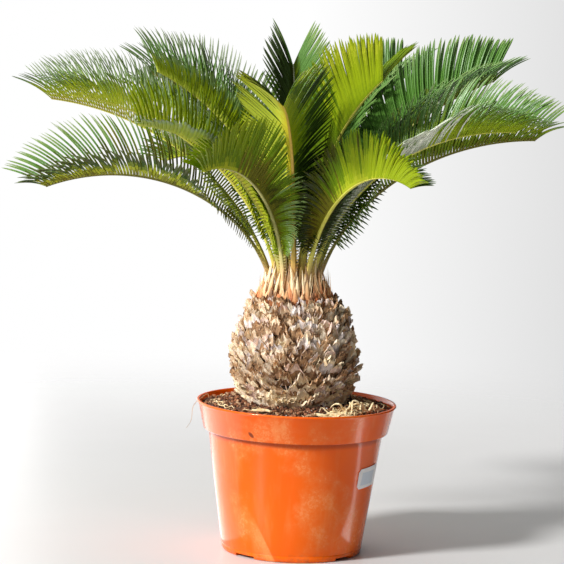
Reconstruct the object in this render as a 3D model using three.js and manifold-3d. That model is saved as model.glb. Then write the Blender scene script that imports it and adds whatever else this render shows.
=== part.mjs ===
// Sago palm (Cycas revoluta) in a plastic nursery pot, with its bract ring, soil, surface roots
// and blank label.
// Millimetres, +Z up, origin at the middle of the pot's flat underside, the viewer at -Y.
import * as THREE from "three";
import Module from "manifold-3d";

const wasm = await Module();
wasm.setup();

// ---- Driving sizes -----------------------------------------------------------------------
const GAP = 0.3; // air between neighbouring solids

const POT = {
  height: 150,
  rimR: 100, // outside radius of the lip
  lip: 2.2, // height of the rounded lip
  bandR: 92.5, // outside radius at the foot of the rim band
  bandZ: 122, // height of the rim band's foot
  wallTopR: 87.5, // outside radius of the wall under the band
  baseR: 70, // outside radius of the foot
  wall: 1.8,
  floor: 2.4,
  sides: 56,
  slots: 4, // drain slots through the foot's edge
  slotTurn: -131, // degrees, first slot
  slotW: 24,
  slotH: 3,
};

const SOIL = { edgeZ: 144.5, heapZ: 150.2, heapR: 60 };

const CAUDEX = {
  foot: SOIL.heapZ + GAP,
  top: 254,
  columns: 24,
  rows: 12,
  valley: 3.5, // how deep the grooves between leaf bases lie under the outline
  point: 1.5, // how far the points stand out of it
  leanX: -0.025, // mm sideways per mm of height
  footX: -3,
};

const CROWN = { x: -6, y: 0, z: CAUDEX.top + GAP };

const BRACTS = { inner: 31, outer: 38, tipR: 36, low: 14, high: 33, points: 18 };

const LABEL = { turn: -26, span: 27, low: 72.5, high: 93, thick: 0.6, corner: 3, tilt: 0.035 };

const ROOTS = { ring: 78, from: -72, to: -20, fat: 3.4, steps: 14 };

// Each frond leaves the crown at an azimuth (0 = +X, 90 = away from the viewer), on a ring of
// the given radius, rises at one angle and ends at another, both in degrees above the horizon.
// bend says how early it turns over: under 1 early, over 1 late. roll lifts its left wing.
const FRONDS = [
  // azimuth, ring, rise, droop, length, bend, roll
  [184, 21, 84, -22, 286, 0.78, -22],
  [166, 21, 80, 4, 326, 0.8, -16],
  [198, 15, 83, 6, 314, 0.88, -10],
  [205, 9, 90, 24, 280, 0.98, -10],
  [222, 15, 83, 4, 276, 0.95, -20],
  [150, 9, 90, 14, 292, 1.0, -12],
  [238, 21, 89, -12, 226, 1.13, 0],
  [264, 20, 88, 10, 262, 1.3, 0],
  [99, 9, 88, 60, 240, 1.3, 0],
  [308, 9, 88, 32, 260, 1.2, -12],
  [303, 20, 88, -18, 246, 1.03, -12],
  [352, 20, 85, 2, 292, 0.78, 22],
  [334, 15, 84, 0, 302, 0.9, 16],
  [16, 14, 85, 20, 304, 0.85, 24],
  [48, 9, 88, 22, 276, 1.1, 12],
  [32, 21, 84, 2, 280, 0.85, 12],
  [62, 21, 82, -16, 286, 0.85, 6],
  [94, 21, 82, -18, 284, 0.85, 0],
  [126, 21, 82, -18, 288, 0.85, -6],
  [76, 14, 85, 2, 298, 0.9, 4],
  [112, 14, 85, -2, 298, 0.9, -4],
  [138, 14, 85, 4, 300, 0.9, -10],
];

const RIB = { footW: 2.7, footD: 2.2, bladeW: 2.1, bladeD: 1.7, tipW: 0.9, tipD: 0.6 }; // halves

const LEAFLET = {
  length: 71,
  first: 0.2, // share of the frond's length where the leaflets begin
  pairs: 19,
  rootShare: 0.25, // of full length, at the first pair
  tipShare: 0.7, // of full length, at the last pair
  spread: 84, // degrees from the rib at the first pair
  close: 42, // and at the last
  flat: -30, // degrees that each wing stands up out of the flat at the first pair
  keel: 52, // and from the middle on
  tip: 0.8, // thickness
};

const BEND_GAP = 36; // a frond that bows further than this from its chord is cut at the bend

// ---- Small helpers -----------------------------------------------------------------------
const rad = (d) => (d * Math.PI) / 180;
const mix = (a, b, t) => a + (b - a) * t;
const clamp = (x, lo, hi) => Math.min(hi, Math.max(lo, x));
const V = (x, y, z) => new THREE.Vector3(x, y, z);

// Repeatable random numbers from 0 to 1.
function randomFrom(seed) {
  let s = seed >>> 0;
  return () => {
    s = (Math.imul(s, 1664525) + 1013904223) >>> 0;
    return s / 4294967296;
  };
}

// A closed body from shared corners and the faces between them, turned so that it faces out.
function body(corners, faces) {
  let volume = 0;
  for (const [a, b, c] of faces) {
    volume += corners[a].dot(V(0, 0, 0).crossVectors(corners[b], corners[c]));
  }
  const outward = volume < 0 ? faces.map(([a, b, c]) => [a, c, b]) : faces;
  const g = new THREE.BufferGeometry();
  const flat = corners.flatMap((p) => [p.x, p.y, p.z]);
  g.setAttribute("position", new THREE.Float32BufferAttribute(flat, 3));
  g.setIndex(outward.flat());
  return g;
}

// Joining and cutting go through manifold-3d, and come back as a geometry.
function solid(g) {
  return new wasm.Manifold(
    new wasm.Mesh({
      numProp: 3,
      vertProperties: new Float32Array(g.getAttribute("position").array),
      triVerts: new Uint32Array(g.index.array),
    }),
  );
}

function geometry(m) {
  const mesh = m.getMesh();
  const g = new THREE.BufferGeometry();
  const p = new Float32Array(mesh.numVert * 3);
  for (let i = 0; i < mesh.numVert; i++) {
    p.set(mesh.vertProperties.subarray(i * mesh.numProp, i * mesh.numProp + 3), i * 3);
  }
  g.setAttribute("position", new THREE.BufferAttribute(p, 3));
  g.setIndex(new THREE.BufferAttribute(new Uint32Array(mesh.triVerts), 1));
  return g;
}

// A body of revolution: the profile starts and ends on the axis, and runs round it once.
function turned(profile, sides) {
  const ends = [profile[0], profile[profile.length - 1]];
  const rings = profile.slice(1, -1);
  const corners = [V(0, 0, ends[0][1]), V(0, 0, ends[1][1])];
  for (const [r, z] of rings) {
    for (let i = 0; i < sides; i++) {
      const a = (2 * Math.PI * i) / sides;
      corners.push(V(r * Math.cos(a), r * Math.sin(a), z));
    }
  }
  const at = (ring, i) => 2 + ring * sides + (i % sides);
  const faces = [];
  for (let i = 0; i < sides; i++) {
    faces.push([0, at(0, i + 1), at(0, i)]);
    faces.push([1, at(rings.length - 1, i), at(rings.length - 1, i + 1)]);
    for (let k = 0; k + 1 < rings.length; k++) {
      faces.push([at(k, i), at(k, i + 1), at(k + 1, i + 1)]);
      faces.push([at(k, i), at(k + 1, i + 1), at(k + 1, i)]);
    }
  }
  return body(corners, faces);
}

// ---- Pot ---------------------------------------------------------------------------------
const wallR = (z) => mix(POT.baseR, POT.wallTopR, z / POT.bandZ);

function pot() {
  const lipZ = POT.height - POT.lip;
  const w = POT.wall;
  const shell = turned(
    [
      [0, 0],
      [POT.baseR - 1.5, 0],
      [wallR(1.5), 1.5],
      [wallR(POT.bandZ - 1), POT.bandZ - 1],
      [POT.bandR, POT.bandZ],
      [POT.rimR - 1.2, lipZ],
      [POT.rimR, lipZ + 0.5],
      [POT.rimR, POT.height - 0.4],
      [POT.rimR - 0.6, POT.height],
      [POT.rimR - 2.6, POT.height],
      [POT.rimR - 1.2 - w, lipZ],
      [POT.bandR - w, POT.bandZ + 1.6],
      [wallR(POT.bandZ - 1) - w, POT.bandZ - 0.6],
      [wallR(POT.floor) - w, POT.floor],
      [0, POT.floor],
    ],
    POT.sides,
  );
  let made = solid(shell);
  for (let i = 0; i < POT.slots; i++) {
    const cut = new THREE.BoxGeometry(16, POT.slotW, 2 * POT.slotH).toNonIndexed();
    cut.translate(POT.baseR, 0, 0);
    cut.rotateZ(rad(POT.slotTurn + (360 / POT.slots) * i));
    made = made.subtract(solid(welded(cut)));
  }
  return geometry(made);
}

// The same geometry with equal corners shared.
function welded(g) {
  const seen = new Map();
  const corners = [];
  const order = [];
  const p = g.getAttribute("position");
  for (let i = 0; i < p.count; i++) {
    const c = V(p.getX(i), p.getY(i), p.getZ(i));
    const key = [c.x, c.y, c.z].map((x) => Math.round(x * 1e4)).join();
    if (!seen.has(key)) {
      seen.set(key, corners.length);
      corners.push(c);
    }
    order.push(seen.get(key));
  }
  const faces = [];
  for (let i = 0; i < order.length; i += 3) faces.push(order.slice(i, i + 3));
  return body(corners, faces);
}

// ---- Soil --------------------------------------------------------------------------------
// It fills the pot 0.3 mm clear, is lowest at the wall and heaped up round the trunk's foot.
function soil() {
  const clear = POT.wall + GAP + 0.05;
  const bandAt = (z) => mix(POT.bandR, POT.rimR - 1.2, (z - POT.bandZ) / (POT.height - POT.bandZ));
  return turned(
    [
      [0, POT.floor + GAP],
      [wallR(POT.floor) - clear - 0.4, POT.floor + GAP],
      [wallR(POT.bandZ - 3) - clear, POT.bandZ - 3],
      [wallR(POT.bandZ - 1) - clear, POT.bandZ + 1.6],
      [bandAt(SOIL.edgeZ) - clear - 0.6, SOIL.edgeZ],
      [78, mix(SOIL.edgeZ, SOIL.heapZ, 0.45)],
      [SOIL.heapR, SOIL.heapZ],
      [0, SOIL.heapZ],
    ],
    POT.sides,
  );
}

// ---- Caudex ------------------------------------------------------------------------------
// The trunk's outline, from the flat cut at the soil to the shoulder under the crown.
const CAUDEX_OUTLINE = [
  [0, 51],
  [0.07, 57],
  [0.2, 63],
  [0.34, 65.5],
  [0.48, 66],
  [0.6, 64],
  [0.76, 59.5],
  [0.9, 53],
  [1, 46],
];

function caudexR(t) {
  const k = CAUDEX_OUTLINE.findIndex(([u]) => u >= t);
  if (k <= 0) return CAUDEX_OUTLINE[0][1];
  const [u0, r0] = CAUDEX_OUTLINE[k - 1];
  const [u1, r1] = CAUDEX_OUTLINE[k];
  return mix(r0, r1, (t - u0) / (u1 - u0));
}

// Old leaf bases cover it like a pineapple: diamonds between grooves that wind both ways, each
// with a point that stands out of it near its upper end.
function caudex() {
  const { columns, rows, foot, top, leanX, footX } = CAUDEX;
  const random = randomFrom(11);
  const on = (row, column, off) => {
    const t = clamp(row / rows, 0, 1);
    const z = mix(foot, top, t);
    const a = (2 * Math.PI * column) / columns;
    const r = caudexR(t) + off;
    return V(footX + leanX * (z - foot) + r * Math.cos(a), r * Math.sin(a), z);
  };
  const corners = [];
  const groove = (row, i) => row * columns + ((i + columns) % columns);
  for (let row = 0; row <= rows; row++) {
    for (let i = 0; i < columns; i++) corners.push(on(row, i + (row % 2) / 2, -CAUDEX.valley));
  }
  const faces = [];
  for (let row = 0; row + 2 <= rows; row++) {
    for (let i = 0; i < columns; i++) {
      const shift = row % 2; // the row above starts half a column further when this one is even
      const loop = [
        groove(row, i),
        groove(row + 1, i + shift),
        groove(row + 2, i),
        groove(row + 1, i + shift - 1),
      ];
      const up = 1.15 + 0.3 * random();
      const out = CAUDEX.point * (0.2 + 1.6 * random());
      corners.push(on(row + up, i + shift / 2 + 0.2 * (random() - 0.5), out));
      const point = corners.length - 1;
      for (let k = 0; k < 4; k++) faces.push([loop[k], loop[(k + 1) % 4], point]);
    }
  }
  const footMid = corners.push(V(footX, 0, foot)) - 1;
  const topMid = corners.push(V(footX + leanX * (top - foot), 0, top)) - 1;
  for (let i = 0; i < columns; i++) {
    faces.push([groove(0, i), groove(0, i + 1), groove(1, i)]);
    faces.push([groove(0, i + 1), groove(0, i), footMid]);
    const last = rows % 2;
    faces.push([groove(rows, i + 1), groove(rows, i), groove(rows - 1, i + (last ? 1 : 0))]);
    faces.push([groove(rows, i), groove(rows, i + 1), topMid]);
  }
  return body(corners, faces);
}

// ---- Bract ring --------------------------------------------------------------------------
// Dry pointed bracts stand in a ring round the leaf stalks, leaning in at their points.
function bracts() {
  const random = randomFrom(5);
  const n = BRACTS.points * 2;
  const corners = [];
  for (let i = 0; i < n; i++) {
    const a = (2 * Math.PI * i) / n;
    const tall = i % 2 === 1;
    const h = tall ? BRACTS.high * (0.8 + 0.2 * random()) : BRACTS.low;
    const r = tall ? BRACTS.tipR : mix(BRACTS.outer, BRACTS.tipR, 0.4);
    const put = (radius, z) => {
      corners.push(V(CROWN.x + radius * Math.cos(a), radius * Math.sin(a), CROWN.z + z));
    };
    put(BRACTS.outer, 0);
    put(r + 0.7, h);
    put(r - 0.7, h);
    put(BRACTS.inner, 0);
  }
  const faces = [];
  for (let i = 0; i < n; i++) {
    const a = 4 * i;
    const b = 4 * ((i + 1) % n);
    for (let k = 0; k < 4; k++) {
      const m = (k + 1) % 4;
      faces.push([a + k, b + k, b + m]);
      faces.push([a + k, b + m, a + m]);
    }
  }
  return body(corners, faces);
}

// ---- Label -------------------------------------------------------------------------------
// A blank sticker with rounded corners, bent round the wall.
function label() {
  const half = { a: LABEL.span / 2, z: (LABEL.high - LABEL.low) / 2 };
  const midZ = (LABEL.high + LABEL.low) / 2;
  const round = LABEL.corner;
  const columns = 12;
  const perDegree = rad(1) * wallR(midZ);
  const corners = [];
  for (let i = 0; i <= columns; i++) {
    const u = mix(-half.a, half.a, i / columns);
    const inset = Math.max(0, round - (half.a - Math.abs(u)) * perDegree);
    const cut = round - Math.sqrt(Math.max(0, round * round - inset * inset));
    for (const [side, off] of [
      [-1, 0],
      [1, 0],
      [1, 1],
      [-1, 1],
    ]) {
      const z = midZ + side * (half.z - cut) + u * perDegree * LABEL.tilt;
      const flat = Math.cos(Math.PI / POT.sides); // the wall's flats lie inside its corners
      const r = wallR(z) / flat + GAP - 0.1 + off * LABEL.thick;
      const a = rad(LABEL.turn + u);
      corners.push(V(r * Math.cos(a), r * Math.sin(a), z));
    }
  }
  const faces = [];
  for (let i = 0; i < columns; i++) {
    for (let k = 0; k < 4; k++) {
      const m = (k + 1) % 4;
      faces.push([4 * i + k, 4 * i + 4 + k, 4 * i + 4 + m]);
      faces.push([4 * i + k, 4 * i + 4 + m, 4 * i + m]);
    }
  }
  const end = 4 * columns;
  faces.push([0, 1, 2], [0, 2, 3], [end, end + 2, end + 1], [end, end + 3, end + 2]);
  return body(corners, faces);
}

// ---- Surface roots -----------------------------------------------------------------------
// A loose strand of dry roots lies on the soil between the trunk and the rim.
function surfaceRoots() {
  const random = randomFrom(23);
  const corners = [];
  const n = 6;
  for (let i = 0; i <= ROOTS.steps; i++) {
    const t = i / ROOTS.steps;
    const a = rad(mix(ROOTS.from, ROOTS.to, t));
    const fat = ROOTS.fat * (0.35 + 0.65 * Math.sin(Math.PI * t) ** 0.5) * (0.8 + 0.4 * random());
    const ring = ROOTS.ring + 3 * Math.sin(7 * t);
    const z = SOIL.heapZ - 2.2 + fat + GAP;
    for (let k = 0; k < n; k++) {
      const b = (2 * Math.PI * k) / n;
      const r = ring + fat * Math.cos(b);
      corners.push(V(r * Math.cos(a), r * Math.sin(a), z + fat * Math.sin(b)));
    }
  }
  const faces = [];
  for (let i = 0; i < ROOTS.steps; i++) {
    for (let k = 0; k < n; k++) {
      const m = (k + 1) % n;
      faces.push([n * i + k, n * i + n + k, n * i + n + m]);
      faces.push([n * i + k, n * i + n + m, n * i + m]);
    }
  }
  const end = n * ROOTS.steps;
  for (let k = 1; k + 1 < n; k++) {
    faces.push([0, k, k + 1], [end, end + k + 1, end + k]);
  }
  return body(corners, faces);
}

// ---- Fronds ------------------------------------------------------------------------------
// The rib's stations: where it is, where it heads, its two other directions and its half sizes.
function ribOf([azimuth, ring, rise, droop, length, bend, roll]) {
  const a = rad(azimuth);
  const out = V(Math.cos(a), Math.sin(a), 0);
  const side = V(-Math.sin(a), Math.cos(a), 0);
  const fine = 200;
  const path = [V(CROWN.x, CROWN.y, CROWN.z).addScaledVector(out, ring)];
  const heading = (s) => rad(mix(rise, droop, s ** bend));
  for (let i = 0; i < fine; i++) {
    const e = heading((i + 0.5) / fine);
    const step = length / fine;
    const next = path[i].clone().addScaledVector(out, Math.cos(e) * step);
    next.z += Math.sin(e) * step;
    path.push(next);
  }
  const shares = [];
  const bare = 4;
  for (let i = 0; i < bare; i++) shares.push((LEAFLET.first * i) / bare);
  for (let i = 0; i <= LEAFLET.pairs; i++) {
    shares.push(mix(LEAFLET.first, 1, i / LEAFLET.pairs));
  }
  const stations = shares.map((t) => {
    const e = heading(t);
    const foot = t < LEAFLET.first;
    const u = foot ? t / LEAFLET.first : (t - LEAFLET.first) / (1 - LEAFLET.first);
    const ahead = out.clone().multiplyScalar(Math.cos(e)).setZ(Math.sin(e));
    const lean = rad(roll) * clamp(t / 0.4, 0, 1);
    return {
      at: path[Math.round(t * fine)].clone(),
      ahead,
      up: V(0, 0, 0).crossVectors(ahead, side).applyAxisAngle(ahead, lean),
      side: side.clone().applyAxisAngle(ahead, lean),
      w: foot ? mix(RIB.footW, RIB.bladeW, u) : mix(RIB.bladeW, RIB.tipW, u),
      d: foot ? mix(RIB.footD, RIB.bladeD, u) : mix(RIB.bladeD, RIB.tipD, u),
    };
  });
  // The foot's end is square to the rib, so it is lifted to stay clear of the trunk's top.
  const lift = Math.cos(heading(0)) * RIB.footD;
  stations[0].at.addScaledVector(stations[0].ahead, lift / stations[0].ahead.z);
  return { stations, bare };
}

// How long a leaflet is and how it points, at a share u of the bladed length.
function leafletAt(u, random) {
  const grown = mix(LEAFLET.rootShare, 1, clamp(u / 0.6, 0, 1) ** 0.8);
  const faded = mix(1, LEAFLET.tipShare, clamp((u - 0.75) / 0.25, 0, 1));
  return {
    length: LEAFLET.length * grown * faded * (0.96 + 0.08 * random()),
    open: rad(mix(LEAFLET.spread, LEAFLET.close, u ** 1.1) + 3 * (random() - 0.5)),
    keel: rad(mix(LEAFLET.flat, LEAFLET.keel, clamp(u / 0.4, 0, 1)) + 5 * (random() - 0.5)),
  };
}

// The shortest way between two straight pieces.
function apart(p, q, r, s) {
  const d1 = q.clone().sub(p);
  const d2 = s.clone().sub(r);
  const off = p.clone().sub(r);
  const a = d1.dot(d1);
  const e = d2.dot(d2);
  const b = d1.dot(d2);
  const c = d1.dot(off);
  const f = d2.dot(off);
  const det = a * e - b * b;
  let u = det > 1e-9 ? clamp((b * f - c * e) / det, 0, 1) : 0;
  let v = (b * u + f) / e;
  if (v < 0 || v > 1) {
    v = clamp(v, 0, 1);
    u = clamp((b * v - c) / a, 0, 1);
  }
  return p.clone().addScaledVector(d1, u).distanceTo(r.clone().addScaledVector(d2, v));
}

// A flat piece is two or three corners with half its thickness. Their distance is that of
// their edges and of corners to faces, and none where an edge goes through a face.
function piece(corners, half) {
  const middle = V(0, 0, 0);
  for (const c of corners) middle.addScaledVector(c, 1 / corners.length);
  const edges = corners.map((c, i) => [c, corners[(i + 1) % corners.length]]);
  return {
    corners,
    half,
    edges: corners.length === 2 ? [edges[0]] : edges,
    face: corners.length === 3 ? new THREE.Triangle(...corners) : null,
    middle,
    reach: Math.max(...corners.map((c) => c.distanceTo(middle))),
  };
}

const ray = new THREE.Ray();
const spot = V(0, 0, 0);

function through(a, b) {
  if (!b.face) return false;
  return a.edges.some(([p, q]) => {
    ray.origin.copy(p);
    ray.direction.copy(q).sub(p).normalize();
    const hit = ray.intersectTriangle(...b.corners, false, spot);
    return hit !== null && spot.distanceTo(p) <= p.distanceTo(q);
  });
}

function toFace(a, b) {
  if (!b.face) return Infinity;
  return Math.min(...a.corners.map((c) => b.face.closestPointToPoint(c, spot).distanceTo(c)));
}

function touches(a, b) {
  const clear = a.half + b.half + GAP + 0.1;
  if (a.middle.distanceTo(b.middle) > a.reach + b.reach + clear) return false;
  if (through(a, b) || through(b, a)) return true;
  if (Math.min(toFace(a, b), toFace(b, a)) < clear) return true;
  return a.edges.some(([p, q]) => b.edges.some(([r, s]) => apart(p, q, r, s) < clear));
}

// All ribs come first, then each leaflet takes the longest of a few lengths that keeps it
// clear of every other frond, of the trunk's shoulder and of the bracts.
const plants = FRONDS.map((row, n) => ({ n, random: randomFrom(100 + n), ...ribOf(row) }));
const taken = [];
for (const { n, stations } of plants) {
  for (let i = 0; i + 1 < stations.length; i++) {
    const wide = Math.max(stations[i].w, stations[i].d);
    taken.push({ n, what: piece([stations[i].at, stations[i + 1].at], wide) });
  }
}

function leaflets({ n, stations, bare, random }) {
  const made = [];
  for (let i = bare; i + 1 < stations.length; i++) {
    const [a, b] = [stations[i], stations[i + 1]];
    const u = (i - bare + 0.5) / LEAFLET.pairs;
    for (const hand of [1, -1]) {
      const { length, open, keel } = leafletAt(u, random);
      const wing = a.side.clone().multiplyScalar(hand * Math.cos(keel));
      wing.addScaledVector(a.up, Math.sin(keel));
      const along = a.ahead.clone().multiplyScalar(Math.cos(open));
      along.addScaledVector(wing, Math.sin(open));
      const face = V(0, 0, 0).crossVectors(a.ahead, wing).normalize();
      if (face.dot(a.up) < 0) face.negate();
      const from = a.at.clone().lerp(b.at, 0.5).addScaledVector(a.side, hand * a.w);
      const rootA = a.at.clone().addScaledVector(a.side, hand * a.w);
      const rootB = b.at.clone().addScaledVector(b.side, hand * b.w);
      for (const share of [1, 0.85, 0.7, 0.55, 0.4, 0]) {
        const tip = from.clone().addScaledVector(along, length * share);
        const what = piece([rootA, rootB, tip], 0.75 * a.d);
        const low = tip.z < CROWN.z + BRACTS.high && tip.distanceTo(CROWN) < 50;
        if (share > 0 && !low && !taken.some((t) => t.n !== n && touches(t.what, what))) {
          taken.push({ n, what });
          made.push({ i, hand, tip, face });
          break;
        }
      }
    }
  }
  return made;
}

// One closed blade from station to station: a four-cornered rib whose sides, where a leaflet
// grows, are drawn out to the leaflet's tip.
function blade({ stations }, made, from, to) {
  const corners = [];
  const faces = [];
  for (let i = from; i <= to; i++) {
    const s = stations[i];
    for (const [x, z] of [
      [1, 1],
      [1, -1],
      [-1, -1],
      [-1, 1],
    ]) {
      const p = s.at.clone().addScaledVector(s.side, x * s.w).addScaledVector(s.up, z * s.d);
      corners.push(p);
    }
  }
  const at = (i, k) => 4 * (i - from) + k;
  const quad = (a, b, c, d) => faces.push([a, b, c], [a, c, d]);
  for (let i = from; i < to; i++) {
    quad(at(i, 3), at(i, 0), at(i + 1, 0), at(i + 1, 3));
    quad(at(i, 1), at(i, 2), at(i + 1, 2), at(i + 1, 1));
    for (const hand of [1, -1]) {
      // root corners in turn: upper near, lower near, lower far, upper far
      const root = hand > 0 ? [at(i, 0), at(i, 1), at(i + 1, 1), at(i + 1, 0)] : null;
      const [p, q, r, s] = root || [at(i + 1, 3), at(i + 1, 2), at(i, 2), at(i, 3)];
      const leaf = made.find((m) => m.i === i && m.hand === hand);
      if (!leaf) {
        quad(p, q, r, s);
        continue;
      }
      const half = LEAFLET.tip / 2;
      const over = corners.push(leaf.tip.clone().addScaledVector(leaf.face, half)) - 1;
      const under = corners.push(leaf.tip.clone().addScaledVector(leaf.face, -half)) - 1;
      faces.push([p, over, s], [q, r, under]);
      quad(p, q, under, over);
      quad(r, s, over, under);
    }
  }
  quad(at(from, 0), at(from, 3), at(from, 2), at(from, 1));
  quad(at(to, 0), at(to, 1), at(to, 2), at(to, 3));
  return body(corners, faces);
}

// Where a frond bows furthest from the straight line between its ends, and how far.
function bendOf({ stations }) {
  const line = new THREE.Line3(stations[0].at, stations[stations.length - 1].at);
  let far = { i: 0, gap: 0 };
  stations.forEach((s, i) => {
    const gap = line.closestPointToPoint(s.at, true, spot).distanceTo(s.at);
    if (gap > far.gap) far = { i, gap };
  });
  return far;
}

// ---- The part ----------------------------------------------------------------------------
const part = new THREE.Group();

function add(name, g, colour, roughness = 0.6) {
  const mesh = new THREE.Mesh(g, new THREE.MeshStandardMaterial({ color: colour, roughness }));
  mesh.name = name;
  part.add(mesh);
}

add("pot", pot(), 0xe8601c, 0.35);
add("soil", soil(), 0x3d2a1d, 0.95);
add("caudex", caudex(), 0x8f7a60, 0.9);
add("bract_ring", bracts(), 0xcfa878, 0.85);
add("label", label(), 0xeceef0, 0.5);
add("surface_roots", surfaceRoots(), 0xc9ab78, 0.85);

for (const plant of plants) {
  const made = leaflets(plant);
  const last = plant.stations.length - 1;
  const bend = bendOf(plant);
  const name = "frond_" + String(plant.n + 1).padStart(2, "0");
  if (bend.gap < BEND_GAP) {
    add(name, blade(plant, made, 0, last), 0x5f8a2c, 0.45);
    continue;
  }
  add(name + "_lower", blade(plant, made, 0, bend.i), 0x567f2a, 0.45);
  const kept = plant.stations[bend.i];
  kept.at.addScaledVector(kept.ahead, GAP);
  add(name + "_upper", blade(plant, made, bend.i, last), 0x679434, 0.45);
}

export default part;
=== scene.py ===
# %% [markdown]
# # A potted sago palm, built piece by piece
# The plant is a young cycad: a round trunk covered in old leaf bases, a crown of stiff feather
# fronds, and an orange plastic nursery pot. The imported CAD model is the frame: it says where
# every piece is. This script dresses it, so each cell makes one piece or one finish.

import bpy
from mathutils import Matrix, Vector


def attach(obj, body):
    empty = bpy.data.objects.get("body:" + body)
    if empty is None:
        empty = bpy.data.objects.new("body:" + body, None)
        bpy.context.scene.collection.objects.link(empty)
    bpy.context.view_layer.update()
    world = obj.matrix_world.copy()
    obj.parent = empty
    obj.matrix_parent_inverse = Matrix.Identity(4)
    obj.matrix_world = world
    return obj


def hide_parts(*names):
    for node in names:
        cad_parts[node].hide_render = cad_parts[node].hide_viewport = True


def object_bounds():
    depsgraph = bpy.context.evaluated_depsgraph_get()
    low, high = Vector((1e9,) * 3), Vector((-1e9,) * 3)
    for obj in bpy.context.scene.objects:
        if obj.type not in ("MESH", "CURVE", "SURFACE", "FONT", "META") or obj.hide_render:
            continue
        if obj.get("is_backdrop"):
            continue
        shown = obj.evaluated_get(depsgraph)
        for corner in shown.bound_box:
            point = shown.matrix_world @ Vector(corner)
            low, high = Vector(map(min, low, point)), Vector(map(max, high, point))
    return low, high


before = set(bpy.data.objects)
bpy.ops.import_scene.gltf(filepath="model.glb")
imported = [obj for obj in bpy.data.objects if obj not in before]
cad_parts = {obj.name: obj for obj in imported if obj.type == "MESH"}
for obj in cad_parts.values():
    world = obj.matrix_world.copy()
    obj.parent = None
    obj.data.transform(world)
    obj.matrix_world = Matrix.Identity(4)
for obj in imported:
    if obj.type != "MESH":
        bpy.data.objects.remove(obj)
cad_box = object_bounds()
print("nodes in the frame:", len(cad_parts))

# %% [markdown]
# ## Tools of the trade
# Blender's meshes come from lists of corners and faces. Numpy works out many corners at once,
# which keeps thousands of leaflets quick. Sizes of pieces are written in millimetres, as on a
# drawing, and turned to metres when a mesh is made. Finishes measure in metres.

# %% Imports and small helpers
import math

import bpy
import numpy as np
from mathutils import Matrix, Vector

MM = 0.001  # Blender works in metres


def mix(a, b, t):
    return a + (b - a) * t


def share(x):
    """x, kept between 0 and 1."""
    return np.clip(x, 0.0, 1.0)


def unit(v):
    return v / np.linalg.norm(v, axis=-1, keepdims=True)


def around(angle):
    """The flat direction at an angle in radians, counted from +X."""
    return np.stack([np.cos(angle), np.sin(angle), 0 * np.asarray(angle, float)], axis=-1)


def circle(sides):
    """The angles of the corners of a round body."""
    return np.arange(sides) * 2 * np.pi / sides


UPRIGHT = np.array([0.0, 0.0, 1.0])
print("helpers ready; 1 m is", round(1 / MM), "mm")

# %% [markdown]
# ## Bodies made of rings
# Most small bodies here are tubes or blades: rings of corners, one after another. These helpers
# join rings with faces and lay rings round a line of points. So a leaflet, a root and a bract
# differ only in where their corners go.

# %% Faces and corners of rings
def ring_faces(rings, sides, closed=True):
    """The faces between rings of corners, and the two ends where the body is closed."""
    faces = []
    for k in range(rings - 1):
        for i in range(sides):
            j = (i + 1) % sides
            faces.append((k * sides + i, k * sides + j, (k + 1) * sides + j, (k + 1) * sides + i))
    if closed:
        faces.append(tuple(reversed(range(sides))))
        faces.append(tuple((rings - 1) * sides + i for i in range(sides)))
    return faces


STEEP = 0.9  # a line that climbs more than this is measured from +X, and others from +Z


def tube(line, radii, sides):
    """Rings of corners round a line of points, with a radius at each point."""
    ahead = unit(np.gradient(line, axis=0))
    helper = np.where(np.abs(ahead[:, 2:]) > STEEP, [[1.0, 0, 0]], [[0, 0, 1.0]])
    across = unit(np.cross(ahead, helper))
    up = np.cross(across, ahead)
    turn = circle(sides)[:, None]
    spoke = np.cos(turn) * across[:, None] + np.sin(turn) * up[:, None]
    return line[:, None] + radii[:, None, None] * spoke


print("a 4-sided tube of 3 rings has", len(ring_faces(3, 4)), "faces")

# %% [markdown]
# ## A heap of small bodies
# A crown has thousands of leaflets and a trunk has hundreds of scales. One object for each would
# be slow, so each kind is gathered in a heap and becomes one mesh. Every face remembers the
# number of its finish, which lets one mesh carry several tints.

# %% Heap: gather corners and faces, then make one piece
class Heap:
    def __init__(self, name, slot, finishes):
        self.name, self.slot, self.finishes = name, slot, finishes
        self.corners, self.faces, self.tints = [], [], []
        self.count = 0

    def add(self, corners, faces, tints=0):
        """Corners in mm. tints is one number for all faces, or a list with one for each."""
        corners = np.asarray(corners, float).reshape(-1, 3)
        self.corners.append(corners)
        self.faces += [tuple(i + self.count for i in face) for face in faces]
        self.tints += [tints] * len(faces) if isinstance(tints, int) else list(tints)
        self.count += len(corners)

    def add_rings(self, rings, tints=0):
        """A closed body from its rings of corners."""
        self.add(rings, ring_faces(len(rings), len(rings[0])), tints)

    def make(self, *nodes, crease):
        """The piece in Blender. It rides on the plant and stands for the named CAD nodes.

        Edges that bend by more than crease degrees stay sharp.
        """
        mesh = bpy.data.meshes.new(self.name)
        mesh.from_pydata((np.concatenate(self.corners) * MM).tolist(), [], self.faces)
        for finish in self.finishes:
            mesh.materials.append(finish)
        mesh.polygons.foreach_set("material_index", self.tints)
        mesh.polygons.foreach_set("use_smooth", [True] * len(self.faces))
        mesh.set_sharp_from_angle(angle=math.radians(crease))
        mesh.update()
        piece = bpy.data.objects.new(self.name, mesh)
        bpy.context.scene.collection.objects.link(piece)
        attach(piece, "root")
        if nodes:
            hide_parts(*nodes)
        triangles = sum(len(face) - 2 for face in self.faces)
        print(f"{self.name}: {len(self.faces)} faces, {triangles} triangles")
        return piece


print("heaps ready: many small bodies, one mesh")

# %% [markdown]
# ## The camera
# A long lens, two and a half metres away and as high as the top of the crown, looks slightly
# down. The small roll lets the plant lean to one side. The three directions of the camera are
# worked out from pitch, yaw and roll and become the columns of its matrix.

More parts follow.
